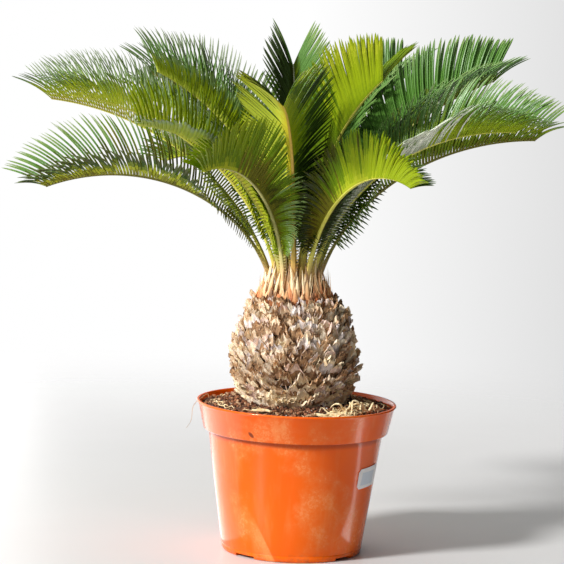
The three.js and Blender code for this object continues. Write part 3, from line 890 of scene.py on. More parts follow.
print("a scale of full size:", SCALE["wide"], "mm wide and", SCALE["tall"], "mm tall")

# %% [markdown]
# Scales near the soil are old, pale and worn flat. Those in the middle are greyer and stand out
# most, and those at the shoulder are smaller. Each is dealt a finish by the odds of its zone, and
# its torn top often has another one.

# %% Odds of each tone
ZONES = [0.0, 0.2, 0.5, 0.75, 1.0]  # shares of the trunk's height
ODDS = {  # of each tone at the zones
    "cream": [0.4, 0.4, 0.3, 0.22, 0.26],
    "tan": [0.14, 0.24, 0.24, 0.34, 0.36],
    "pink": [0.08, 0.16, 0.26, 0.18, 0.14],
    "mauve": [0.02, 0.14, 0.28, 0.16, 0.04],
    "brown": [0.0, 0.04, 0.06, 0.16, 0.24],
    "chalk": [2.4, 0.5, 0, 0, 0],
}
assert list(ODDS) == list(DEALT_TONES)


def deal(chance, t):
    """A finish number for a scale at the height t."""
    odds = np.array([np.interp(t, ZONES, row) for row in ODDS.values()])
    return int(chance.choice(len(odds), p=odds / odds.sum()))


print("tones dealt to the scales:", ", ".join(ODDS))

# %% [markdown]
# The scales stand in rows, each row half a step on from the one below, which gives the spirals.
# Low down they are smaller and press against the trunk, and higher up they curl outwards.

# %% Rows of scales
ROWS = {"rows": 11, "columns": 24, "stray_up": 0.25, "stray_round": 0.24, "highest": 0.97}
LOW = {"zone": 0.22, "size": 0.78, "curl": -1.2, "deep": -4.5}  # near the soil
MIDDLE = {"curl": 2.6, "deep": -8.8, "brown_tops": 0.32, "curled": 0.22}
SHOULDER = {"from": 0.75, "zone": 0.22, "size": 0.8}
scales = Heap("trunk_scales", "leaf_bases", SCALE_FINISHES + [POCKET_SHADE_FINISH])
chance = np.random.RandomState(11)
for row in range(ROWS["rows"] + 1):
    for column in range(ROWS["columns"]):
        t = ROWS["highest"] * share((row + ROWS["stray_up"] * chance.uniform(-1, 1)) / ROWS["rows"])
        place = column + (row % 2) / 2 + ROWS["stray_round"] * chance.uniform(-1, 1)
        angle = 2 * math.pi * place / ROWS["columns"]
        low = 1 - share(t / LOW["zone"])
        high = share((t - SHOULDER["from"]) / SHOULDER["zone"])
        size = mix(1.0, LOW["size"], low) * chance.uniform(0.8, 1.16) * mix(1, SHOULDER["size"], high)
        point = chance.choice([0.05, 0.2, 0.4], p=[0.3, 0.4, 0.3])
        more = MIDDLE["curl"] if chance.uniform() < MIDDLE["curled"] else 0
        curl = mix(MIDDLE["curl"], LOW["curl"], low) + more + chance.uniform(-2.4, 1.2)
        top_tint = BROWN if chance.uniform() < MIDDLE["brown_tops"] * (1 - low) else deal(chance, t * 0.75)
        tints = (deal(chance, t), top_tint)
        # how far up each face the painted shade of its pocket reaches
        pocket = chance.uniform(0.2, 0.6) * (1 - 0.6 * low)
        deep = mix(MIDDLE["deep"], LOW["deep"], low)
        scale(scales, chance, t, angle, size, point, curl, tints, deep, pocket=pocket)
print("scales:", (ROWS["rows"] + 1) * ROWS["columns"])

# %% [markdown]
# Torn flakes lie over the scales at all angles. They are small scales on a coarser grid. A
# bleached stump, three pale scales side by side, shows at the front of the foot.

# %% Flakes and the stump
FLAKES = {"count": 260, "brown": 0.2, "point": 0.3, "deep": -5.0, "lean": 34}
for _ in range(FLAKES["count"]):
    t, angle = chance.uniform(0.02, 0.97), chance.uniform(0, 2 * math.pi)
    tint = BROWN if chance.uniform() < FLAKES["brown"] else deal(chance, t * chance.uniform(0.2, 1))
    size, curl = chance.uniform(0.32, 0.66), chance.uniform(-0.5, 3.2) * share(t / 0.3)
    scale(scales, chance, t, angle, size, FLAKES["point"], curl, (tint, tint), FLAKES["deep"],
          FLAKES["lean"], FLAKE_GRID)
STUMP = {"t": 0.035, "size": 0.62, "point": 0.1, "curl": 2.2, "deep": -3.0, "lean": 8}
for degrees in (-104, -98, -92):
    scale(scales, chance, STUMP["t"], math.radians(degrees), STUMP["size"], STUMP["point"],
          STUMP["curl"], (CHALK, CHALK), STUMP["deep"], STUMP["lean"])
scales.make(crease=28)

# %% [markdown]
# Between the scales stand splinters and fibres, and a few long thin spines that are left of small
# bracts. All are tapered tubes that lean outwards a little.

# %% Splinters and spines on the trunk
spines = Heap("trunk_spines", "leaf_bases", SCALE_FINISHES)
chance = np.random.RandomState(17)
SPLINTERS = {"count": 900, "off": -2.4, "spread": 1.2}  # off is from the trunk's surface, in mm
SPINES = {"count": 70, "thick": 0.5, "off": -2.0, "spread": 0.8}


def spine(t, angle, tall, thick, off, spread):
    """A thin tapered spine that leaves the trunk at a spot."""
    side, up, out = trunk_frame(t, angle)
    outwards = out * chance.uniform(0.05, 0.5) * spread
    aside = side * chance.uniform(-0.6, 0.6) * spread
    lean = unit(up + outwards + aside)
    bend = side * chance.uniform(-1.5, 1.5) + out * chance.uniform(-1, 1)
    k = np.linspace(0, 1, 4)[:, None]
    line = trunk_spot(t, angle, off) + (lean * k + bend * k**2 * 0.1) * tall
    spines.add_rings(tube(line, thick * (1.05 - k[:, 0]), 4), int(chance.choice(5)))


for _ in range(SPLINTERS["count"]):
    spine(chance.uniform(0.03, 1), chance.uniform(0, 2 * math.pi), chance.uniform(4, 9),
          chance.uniform(0.3, 0.8), SPLINTERS["off"], SPLINTERS["spread"])
for _ in range(SPINES["count"]):
    spine(chance.uniform(0.3, 1), chance.uniform(0, 2 * math.pi), chance.uniform(9, 17),
          SPINES["thick"], SPINES["off"], SPINES["spread"])
spines.make(crease=50)

# %% [markdown]
# ## Bracts and wool
# At the top of the trunk, dry pointed bracts stand round the leaf stalks. Their feet are covered
# in orange-brown wool and their points bleach to cream. A bract is a blade with a crescent
# section that narrows to a point. Its finish changes with height, which is a plain ramp on Z.

# %% Bract finish
CROWN = {"x": -6, "z": 254.3}
CROWN_MIDDLE = np.array([CROWN["x"], 0, CROWN["z"]])


def bract_finish(name, foot, point):
    f = Finish(name)
    fibre = f.noise(520, 4, stretch=(1, 1, 0.12), rough=0.7)
    rise = f.steps(f.axis("Z") + (fibre - 0.5) * 0.02, 0.252, 0.274)
    tone = f.blend(rise, paint(*foot), paint(*point))
    shaded = f.blend(f.steps(fibre, 0.58, 0.76) * 0.4, tone, paint(130, 86, 56))
    return f.surface(Base_Color=shaded, Roughness=0.8, Normal=f.bump(fibre, 0.7, 0.5))


BRACT_TONES = {  # foot, point
    "cream": ((240, 184, 132), (252, 228, 184)),
    "tan": ((210, 144, 94), (236, 194, 140)),
    "wool": ((226, 124, 74), (238, 180, 128)),
    # dark: painted shade, dealt mostly to the inner rings deep between the stalks
    "dark": ((112, 74, 52), (170, 134, 98)),
}
BRACT_FINISHES = [bract_finish("bract_" + name, *pair) for name, pair in BRACT_TONES.items()]
print("bract finishes:", ", ".join(BRACT_TONES))

# %% [markdown]
# A bract's outline is a list of half widths from foot to point. Its section has seven corners:
# five along the hollow front and two behind.

# %% One bract
BRACT_ALONG = np.array([0, 0.12, 0.3, 0.5, 0.7, 0.86, 1.0])[:, None]
BRACT_HALF = np.array([1.0, 1.0, 0.84, 0.6, 0.42, 0.25, 0.04])[:, None]
BRACT_ACROSS = np.array([-1, -0.5, 0, 0.5, 1, 0.45, -0.45])
BRACT_DIP = np.array([-0.42, -0.12, 0.1, -0.12, -0.42, -0.62, -0.62])
BRACT_FOOT = 3.0  # mm that a bract starts under the crown's middle


def bract(heap, chance, angle, ring, wide, tall, lean, tint):
    """One pointed bract. lean is how far its point lies inwards (negative) or outwards, in mm."""
    out, side = around(angle), around(angle + math.pi / 2)
    v = BRACT_ALONG
    swing = chance.uniform(-5, 5)
    bulge = 1.6 * np.sin(np.pi * share(v * 1.4))
    middle = CROWN_MIDDLE - BRACT_FOOT * UPRIGHT
    spine = middle + out * (ring + lean * v**1.5 + bulge) + side * swing * v**2 + UPRIGHT * tall * v
    half = wide / 2 * BRACT_HALF
    x = half * BRACT_ACROSS
    z = half * BRACT_DIP
    heap.add_rings(spine[:, None] + x[..., None] * side + z[..., None] * out, tint)


print("corners on a bract:", BRACT_ALONG.size * BRACT_ACROSS.size)

# %% [markdown]
# The outer rings are broad and woolly, and the inner ones are thin, long and dark, so that no
# light comes through between the stalks: their dark finish is painted shade deep in the crown.

# %% Rings of bracts
BRACT_RINGS = [  # ring, count, shortest, longest, lean, narrowest, widest, odds of each finish
    (38, 30, 9, 19, -2.5, 6, 9, (0.3, 0.26, 0.34, 0.1)),
    (36, 28, 16, 30, -5, 5, 8, (0.44, 0.2, 0.28, 0.08)),
    (33, 26, 26, 42, -6, 4.5, 7, (0.5, 0.24, 0.12, 0.14)),
    (27, 24, 28, 46, -3, 4, 7, (0.4, 0.24, 0.06, 0.3)),
    (17, 14, 30, 46, -1, 4, 7, (0.1, 0.1, 0, 0.8)),
    (8, 8, 30, 48, 0, 4, 7, (0, 0.1, 0, 0.9)),
]
bracts = Heap("crown_bracts", "bracts", BRACT_FINISHES)
chance = np.random.RandomState(23)
for ring, count, low, high, lean, narrow, broad, odds in BRACT_RINGS:
    for i in range(count):
        # adding the ring's radius gives each ring a start of its own
        angle = 2 * math.pi * (i + chance.uniform(-0.3, 0.3)) / count + ring
        tall, wide = chance.uniform(low, high), chance.uniform(narrow, broad)
        tint = int(chance.choice(len(odds), p=odds))
        bract(bracts, chance, angle, ring, wide, tall, lean + chance.uniform(-2, 2), tint)
print("bracts:", sum(row[1] for row in BRACT_RINGS))

# %% [markdown]
# Loose fibres stand up between the bracts and soften the edge of the ring. They are thin tubes,
# dealt the bracts' own finishes.

# %% Loose fibres
FIBRES = {"count": 200, "odds": (0.5, 0.2, 0.1, 0.2), "foot": 2}
k = np.linspace(0, 1, 4)[:, None]
for _ in range(FIBRES["count"]):
    angle = chance.uniform(0, 2 * math.pi)
    foot = CROWN_MIDDLE - FIBRES["foot"] * UPRIGHT + around(angle) * chance.uniform(28, 38)
    inwards = around(angle) * chance.uniform(0, 0.3)
    lean = UPRIGHT - inwards + around(angle + 1.57) * chance.uniform(-0.2, 0.2)
    line = foot + lean * k * chance.uniform(10, 36)
    fibre = tube(line, chance.uniform(0.25, 0.6) * (1.08 - k[:, 0]), 4)
    bracts.add_rings(fibre, int(chance.choice(len(BRACT_TONES), p=FIBRES["odds"])))
bracts.make("bract_ring", crease=45)

# %% [markdown]
# Wool closes the trunk between the stalks: a low cushion of brown felt. Its rings of corners climb
# to the middle, each corner a little off. The helper for the trunk's finishes makes the felt.

# %% Wool between the stalks
WOOL = {"sides": 64, "rings": 12, "edge_r": 41, "middle_r": 3, "high": 9, "uneven": 1.2, "skirt": 4}
felt = fibrous("crown_wool", (84, 46, 26), (168, 104, 62), rough=0.95, stretch=0.5)
wool = Heap("crown_wool", "bracts", [felt])
turn = around(circle(WOOL["sides"]))
chance = np.random.RandomState(29)
body = []
for k, r in enumerate(np.linspace(WOOL["edge_r"], WOOL["middle_r"], WOOL["rings"])):
    rise = math.sin(math.pi / 2 * k / (WOOL["rings"] - 1))
    tufts = chance.uniform(-WOOL["uneven"], WOOL["uneven"], WOOL["sides"])
    z = CROWN["z"] - 1 + WOOL["high"] * rise + tufts
    body.append(np.array([CROWN["x"], 0, 0]) + r * turn + z[:, None] * UPRIGHT)
wool.add_rings([body[0] - WOOL["skirt"] * UPRIGHT, *body])
wool.make(crease=60)

# %% [markdown]
# ## Fronds
# A frond is a rib with two combs of narrow leaflets. The rib leaves the crown almost upright and
# bows over: its angle above the horizon goes from one value to another along its length. The
# table has one row for each frond, and the same rule shapes the CAD blades, so that the fine
# leaflets end where the solid ones do.

# %% Table of fronds
# azimuth, ring, rise, droop, length, bend, roll
FRONDS = [
    (184, 21, 84, -22, 286, 0.78, -22),
    (166, 21, 80, 4, 326, 0.8, -16),
    (198, 15, 83, 6, 314, 0.88, -10),
    (205, 9, 90, 24, 280, 0.98, -10),
    (222, 15, 83, 4, 276, 0.95, -20),
    (150, 9, 90, 14, 292, 1.0, -12),
    (238, 21, 89, -12, 226, 1.13, 0),
    (264, 20, 88, 10, 262, 1.3, 0),
    (99, 9, 88, 60, 240, 1.3, 0),
    (308, 9, 88, 32, 260, 1.2, -12),
    (303, 20, 88, -18, 246, 1.03, -12),
    (352, 20, 85, 2, 292, 0.78, 22),
    (334, 15, 84, 0, 302, 0.9, 16),
    (16, 14, 85, 20, 304, 0.85, 24),
    (48, 9, 88, 22, 276, 1.1, 12),
    (32, 21, 84, 2, 280, 0.85, 12),
    (62, 21, 82, -16, 286, 0.85, 6),
    (94, 21, 82, -18, 284, 0.85, 0),
    (126, 21, 82, -18, 288, 0.85, -6),
    (76, 14, 85, 2, 298, 0.9, 4),
    (112, 14, 85, -2, 298, 0.9, -4),
    (138, 14, 85, 4, 300, 0.9, -10),
]
print("fronds:", len(FRONDS), "longest", max(row[4] for row in FRONDS), "mm")

# %% [markdown]
# Leaves take their colour from age and from which side shows: the upper side is dark and glossy,
# the underside is yellow-green and duller. Young fronds are lime all over. Two tints are painted
# light: a near-white one is a painted sheen, and a pale grey-green one is paled by painted glare
# on the tips. Each tint is a plain colour, and every frond is dealt nine: one for the heel of its
# leaflets at the rib, four along their upper side and four along the underside. Where one tint
# gives way to the next differs from leaflet to leaflet, so that they run into each other.

# %% Leaf tints
TINTS = {
    # the last tint on the next line, near white, is a painted sheen
    "yellow": (200, 188, 50), "pear": (198, 210, 72), "frost": (238, 242, 224),
    "straw": (178, 170, 70), "lime": (176, 186, 46), "leek": (144, 163, 27),
    "fresh": (126, 148, 24), "leaf": (106, 132, 20), "spring": (92, 118, 22), "mid": (72, 100, 20),
    "fern": (58, 84, 18), "deep": (44, 64, 18), "dark": (30, 44, 14), "moss": (74, 80, 18),
    "bronze": (86, 78, 28), "olive": (112, 110, 32), "slate": (62, 70, 44),
    "grey": (112, 130, 88), "blue": (70, 100, 56), "jade": (90, 134, 56), "teal": (100, 140, 68),
    # the last tint on the next line is a grey-green paled by painted glare on the tips
    "sage": (126, 154, 84), "silver": (172, 182, 154),
}
SHINE = {  # specular level
    "slate": 0.3, "grey": 0.45, "blue": 0.4, "jade": 0.4, "teal": 0.4, "sage": 0.3, "silver": 0.5,
    "frost": 0.5,
}
DULL = 0.14  # specular level of the tints that SHINE leaves out


def leaf_finish(name, tint, shine):
    f = Finish("leaf_" + name)
    gloss = 0.32 + f.steps(f.noise(120, 2), 0.3, 0.7) * 0.16
    skin = f.bump(f.noise(900, 2), 0.15, 0.1)
    return f.surface(Base_Color=paint(*tint), Roughness=gloss, Normal=skin, Specular_IOR_Level=shine)


print("leaf tints:", len(TINTS))

# %% [markdown]
# Between two tints lies the one halfway. A finish is only made when a leaflet asks for it, and is
# known by its number from then on.

# %% Numbered leaf finishes
LEAF_FINISHES, LEAF_NUMBERS = [], {}


def leaf_number(first, second):
    """The number of the finish halfway between two tints. It is made when first asked for."""
    pair = tuple(sorted((first, second)))
    if pair not in LEAF_NUMBERS:
        tint = [(a + b) / 2 for a, b in zip(TINTS[first], TINTS[second])]
        shine = (SHINE.get(first, DULL) + SHINE.get(second, DULL)) / 2
        LEAF_NUMBERS[pair] = len(LEAF_FINISHES)
        LEAF_FINISHES.append(leaf_finish("_".join(dict.fromkeys(pair)), tint, shine))
    return LEAF_NUMBERS[pair]


def tint_run(names):
    """Finish numbers from a leaflet's rib end to its tip: each tint, and the ones halfway."""
    run = [leaf_number(names[0], names[0])]
    for a, b in zip(names, names[1:]):
        run += [leaf_number(a, b), leaf_number(b, b)]
    return np.array(run)


print("the first leaf finish:", LEAF_FINISHES[leaf_number("olive", "olive")].name)

# %% [markdown]
# One line for each frond, in the order of the table above: the tint of the heel, then the upper
# side and the underside, both from rib to tip.

# %% Tints of every frond
DEALT = """
olive  / moss teal sage silver      / lime fern moss spring
straw  / leek sage grey grey        / lime leek teal grey
lime   / leek sage grey silver      / lime leek leaf sage
pear   / spring teal grey silver    / leek leek sage sage
lime   / fresh leek fresh leek      / leek leek sage grey
olive  / mid teal grey silver       / mid mid teal grey
lime   / spring leaf fresh fresh    / leaf fresh fresh leek
yellow / mid fern deep dark         / pear pear pear lime
fresh  / teal teal sage sage        / mid blue blue blue
fresh  / spring spring leaf leaf    / leek leek lime leek
leek   / spring fern fern mid       / leek leek leek leaf
olive  / leaf teal sage silver      / leaf leek sage sage
leek   / leaf jade teal sage        / leek leaf spring teal
olive  / jade jade teal sage        / leaf jade teal teal
olive  / jade jade teal sage        / mid jade jade teal
lime   / deep fern mid jade         / fresh spring mid mid
lime   / spring mid fern deep       / fresh leaf spring mid
yellow / mid spring teal grey       / lime leek leaf spring
lime   / deep fern mid teal         / leaf spring mid mid
yellow / mid fern deep deep         / fresh leaf spring spring
lime   / leaf spring mid mid        / fresh leaf spring mid
lime   / spring mid fern deep       / leaf spring mid mid
"""
RUNS = []
for row in DEALT.strip().splitlines():
    heel, upper, under = row.split("/")
    RUNS.append([tint_run((heel + side).split()) for side in (upper, under)])
assert len(RUNS) == len(FRONDS)
print("fronds with tints:", len(RUNS))

# %% [markdown]
# Parts of some wings are dealt apart. Each is named by its frond and its wing, and runs up to a
# share of the frond's length. Its tints go from the rib to the tip, and both sides share them.
# Where a wing lies in shade, some parts are dealt darker tints as painted shade.

# %% Tints of parts of wings
WING_PARTS = {
    (1, 1): [(0.3, "olive moss olive moss olive")],
    (1, -1): [(0.3, "olive olive sage grey sage"), (0.6, "olive moss olive leaf sage")],
    (2, 1): [(0.6, "pear silver pear silver lime")],
    (2, -1): [(0.35, "straw lime leek leaf sage")],
    (3, 1): [(0.35, "straw lime lime leek leek")],
    (4, 1): [(0.5, "pear lime leek leek sage")],
    (5, 1): [(0.4, "straw lime lime leek leek")],
    (7, 1): [(0.26, "olive leaf sage sage sage"), (0.46, "olive moss leaf spring sage"),
             (0.68, "olive olive leaf leaf leek")],
    # darker up to half its length: painted shade on a wing turned away from the light
    (8, 1): [(0.5, "mid deep dark deep moss"), (0.72, "leek leaf deep deep mid"),
             (1.0, "leek fresh mid leaf leek")],
    (9, 1): [(1.0, "moss slate slate grey grey")],
    (10, 1): [(0.5, "deep deep mid jade jade")],
    (10, -1): [(0.42, "spring spring mid mid spring"), (0.62, "leaf leaf spring spring leaf")],
    (11, 1): [(0.5, "olive slate slate grey slate")],
    # darker low parts: painted shade where the wing lies under other fronds
    (11, -1): [(0.2, "olive bronze slate slate moss"), (0.36, "olive olive moss slate moss"),
               (0.52, "lime leaf spring moss moss"), (0.7, "lime leek leek leaf leaf")],
    # the near-white tints here are a painted sheen, where this wing mirrors the bright room
    (13, -1): [(0.7, "silver frost frost frost silver")],
    (14, -1): [(0.5, "fern fern mid mid spring")],
    (22, 1): [(0.45, "olive olive leaf leek sage")],
}
PART_RUNS = {
    wing: [(upto, tint_run(names.split())) for upto, names in parts]
    for wing, parts in WING_PARTS.items()
}
print("finishes halfway between two tints:", sum(a != b for a, b in LEAF_NUMBERS))

# %% [markdown]
# The rib first. Its path is added up in small steps, each along the rib's heading. At every share
# of its length it has three directions: ahead, sideways and up, which the roll turns round it.

# %% Rib
FINE = 200
FIRST = 0.2  # share of the length where the leaflets begin
ROLLED = 0.4  # share of the length where the roll is complete
RIB_HALF = [(4.2, 2.1, 0.9), (3.0, 1.7, 0.6)]  # half width and half depth at 0, FIRST and 1


class Rib:
    """The path of a frond's rib. s is a share of its length, 0 at the crown and 1 at the tip."""

    def __init__(self, row):
        azimuth, ring, self.rise, self.droop, self.length, self.bend, roll = row
        self.roll = math.radians(roll)
        self.out = around(math.radians(azimuth))
        self.sideways = around(math.radians(azimuth + 90))
        start = CROWN_MIDDLE + self.out * ring
        steps = self.ahead((np.arange(FINE) + 0.5) / FINE) * self.length / FINE
        self.path = np.concatenate([[start], start + np.cumsum(steps, axis=0)])

    def ahead(self, s):
        heading = np.radians(mix(self.rise, self.droop, np.asarray(s) ** self.bend))[..., None]
        return np.cos(heading) * self.out + np.sin(heading) * UPRIGHT

    def at(self, s):
        places = np.asarray(s) * FINE
        return np.stack([np.interp(places, np.arange(FINE + 1), self.path[:, k]) for k in range(3)], -1)

    def frame(self, s):
        """Ahead, sideways and up at the shares s, with the roll that grows along the foot."""
        ahead = self.ahead(s)
        up = np.cross(ahead, self.sideways)
        lean = (self.roll * share(np.asarray(s) / ROLLED))[..., None]
        side = self.sideways * np.cos(lean) + up * np.sin(lean)
        return ahead, side, up * np.cos(lean) - self.sideways * np.sin(lean)

    def half(self, s):
        """Half width and half depth at the shares s."""
        return [np.interp(s, [0, FIRST, 1], sizes) for sizes in RIB_HALF]


RIBS = [Rib(row) for row in FRONDS]
print("highest rib point:", round(max(rib.path[:, 2].max() for rib in RIBS)), "mm")

# %% [markdown]
# A living rib is smooth and yellow-green, rounder below, with a shallow groove above, and its
# foot fades to tan where it comes out of the wool. Thorns sit on the bare foot: they are the
# lowest leaflets, shrunk to spines. Six tints are dealt out, one for each frond.

# %% Rib finishes
def rib_finish(name, tint, foot):
    f = Finish("rib_" + name)
    fibre = f.noise(300, 3, stretch=(1, 1, 0.2))
    rise = f.steps(f.axis("Z") + (fibre - 0.5) * 0.014, 0.27, 0.305)
    live = f.blend(f.steps(fibre, 0.4, 0.75) * 0.4, paint(*tint), paint(*(c * 0.78 for c in tint)))
    tone = f.blend(rise, paint(*foot), live)
    return f.surface(Base_Color=tone, Roughness=0.42, Normal=f.bump(fibre, 0.25, 0.2))


RIB_TINTS = {  # the live rib, and its foot
    "yellow": ((224, 220, 92), (222, 178, 116)),
    "lime": ((172, 178, 56), (214, 180, 118)),
    "olive": ((132, 128, 50), (194, 156, 100)),
    "pale": ((196, 192, 118), (228, 190, 136)),
    "ashen": ((212, 220, 180), (228, 190, 136)),
    "amber": ((214, 180, 78), (228, 168, 110)),
}
RIB_FINISHES = [rib_finish(name, *pair) for name, pair in RIB_TINTS.items()]
RIB_DEALT = """
olive yellow yellow yellow lime olive pale amber ashen yellow yellow
olive yellow pale olive lime lime yellow olive yellow lime olive
""".split()
assert len(RIB_DEALT) == len(FRONDS)
print("rib finishes:", ", ".join(RIB_TINTS))

# %% [markdown]
# A rib is one tube with ten corners to a ring, and its rings are closer together at the foot.
# Its thorns are thin tubes in pairs.

# %% Ribs and thorns
RIB_SECTION = np.array([  # width and depth of each corner
    (1, 0.1), (0.85, 0.7), (0.35, 0.8), (0, 0.5), (-0.35, 0.8), (-0.85, 0.7), (-1, 0.1),
    (-0.75, -0.7), (0, -1), (0.75, -0.7),
])
RIB_SHARES = np.concatenate([np.linspace(0, 0.12, 8)[:-1], np.linspace(0.12, 1, 44)])
THORN = {"from": 0.11, "step": 0.013, "short": 2.0, "long": 7.0, "thick": 0.6, "sunk": 0.3}


def add_rib(heap, rib, tint):
    _, side, up = rib.frame(RIB_SHARES)
    wide, deep = rib.half(RIB_SHARES)
    x = wide[:, None] * RIB_SECTION[:, 0]
    z = deep[:, None] * RIB_SECTION[:, 1]
    middle = rib.at(RIB_SHARES)[:, None]
    heap.add_rings(middle + x[..., None] * side[:, None] + z[..., None] * up[:, None], tint)


def add_thorns(heap, rib, tint, chance):
    """Thorns in pairs, which get longer towards the first leaflets."""
    k = np.linspace(0, 1, 3)[:, None]
    for s in np.arange(THORN["from"], FIRST, THORN["step"]):
        for hand in (1, -1):
            ahead, side, up = rib.frame(s)
            wide, _ = rib.half(s)
            grown = (s - THORN["from"]) / (FIRST - THORN["from"])
            long = mix(THORN["short"], THORN["long"], grown) * chance.uniform(0.8, 1.2)
            lean = unit(side * hand + ahead * 0.5 - up * 0.2)
            line = rib.at(s) + side * hand * (wide - THORN["sunk"]) + lean * long * k
            heap.add_rings(tube(line, THORN["thick"] * (1.08 - k[:, 0]), 4), tint)


ribs = Heap("frond_ribs", "frond_green", RIB_FINISHES)
chance = np.random.RandomState(31)
for rib, name in zip(RIBS, RIB_DEALT):
    tint = list(RIB_TINTS).index(name)
    add_rib(ribs, rib, tint)
    add_thorns(ribs, rib, tint, chance)
ribs.make(crease=50)

# %% [markdown]
# Now the leaflets. All of a frond are worked out at once, as arrays with one row for each
# leaflet. Their rule is that of the CAD blades: short and folded back near the foot, full length
# from the middle on, closing towards the tip, and each wing standing up out of the flat.

# %% Leaflet rule
LEAFLET = {  # lengths in mm and angles in degrees; pairs go from the foot to the tip
    "length": 71, "root_share": 0.25, "tip_share": 0.7, "open": (84, 42), "keel": (-30, 52),
    "sweep": (24, 15), "arch": (50, 17), "droop": (0.3, 0.03),
}
ALONG = np.array([0, 0.05, 0.13, 0.23, 0.34, 0.45, 0.56, 0.67, 0.77, 0.86, 0.94, 1.0])


def leaflet_rule(u, chance):
    """Length, angle from the rib and keel of the leaflets at the shares u of the bladed part."""
    grown = mix(LEAFLET["root_share"], 1, share(u / 0.6) ** 0.8)
    faded = mix(1, LEAFLET["tip_share"], share((u - 0.75) / 0.25))
    length = LEAFLET["length"] * grown * faded * chance.uniform(0.96, 1.04, len(u))
    # neighbours lean together a little, which opens and closes gaps in the comb
    drift = np.convolve(chance.normal(0, 1, len(u) + 6), np.ones(4) / 4, "same")[3:-3]
    spread = np.radians(mix(*LEAFLET["open"], u**1.1) + 2.2 * drift + chance.uniform(-1, 1, len(u)))
    lift = mix(*LEAFLET["keel"], share(u / 0.4)) + chance.uniform(-3, 3, len(u))
    return length, spread, np.radians(lift)


def leaflet_lines(rib, u, hand, length, spread, keel, chance):
    """Points along each leaflet with its direction and its upper side's normal there."""
    s = mix(FIRST, 1, u)
    ahead, side, up = rib.frame(s)
    wide, deep = rib.half(s)
    wing = hand * side * np.cos(keel)[:, None] + up * np.sin(keel)[:, None]
    face = up * np.cos(keel)[:, None] - hand * side * np.sin(keel)[:, None]
    root = rib.at(s) + side * (hand * 0.75 * wide)[:, None] + up * (0.35 * deep)[:, None]
    # the leaflet sweeps forward and arches over; those at the foot also hang down at their tips
    sweep = np.radians(mix(*LEAFLET["sweep"], u))
    arch = np.radians(mix(*LEAFLET["arch"], share(u / 0.45)) + chance.uniform(-4, 4, len(u)))
    angle = (spread[:, None] + sweep[:, None] * (0.5 - ALONG))[..., None]
    flat = ahead[:, None] * np.cos(angle) + wing[:, None] * np.sin(angle)
    over = (arch[:, None] * (0.5 - ALONG))[..., None]
    along = flat * np.cos(over) + face[:, None] * np.sin(over)
    droop = mix(*LEAFLET["droop"], share(u / 0.55))[:, None, None] * (ALONG * 2 - 0.6)[None, :, None]
    along = unit(along - UPRIGHT * droop * 2)
    normal = unit(np.cross(along, np.cross(face[:, None], along)))
    steps = 0.5 * (along[:, 1:] + along[:, :-1]) * np.diff(ALONG)[None, :, None]
    line = np.concatenate([np.zeros_like(root)[:, None], np.cumsum(steps, axis=1)], axis=1)
    reach = np.linalg.norm(line[:, -1], axis=-1)[:, None, None]
    return root[:, None] + line * length[:, None, None] / reach, along, normal


print("points along a leaflet:", len(ALONG))

# %% [markdown]
# Wings differ: some are combed wide open, some are short, some lie forward or hang. An even wing
# has the values of EVEN, and the table says what is different on the others. half is half a
# leaflet's width in mm, and slat is its turn like the slat of a blind, in degrees. long is its
# share of full length. down is how far the wing is let down. forward is how far its leaflets lie
# forward, on the half near the crown and on the other. foot is the share of length and the share
# of width that leaflets at the foot have.

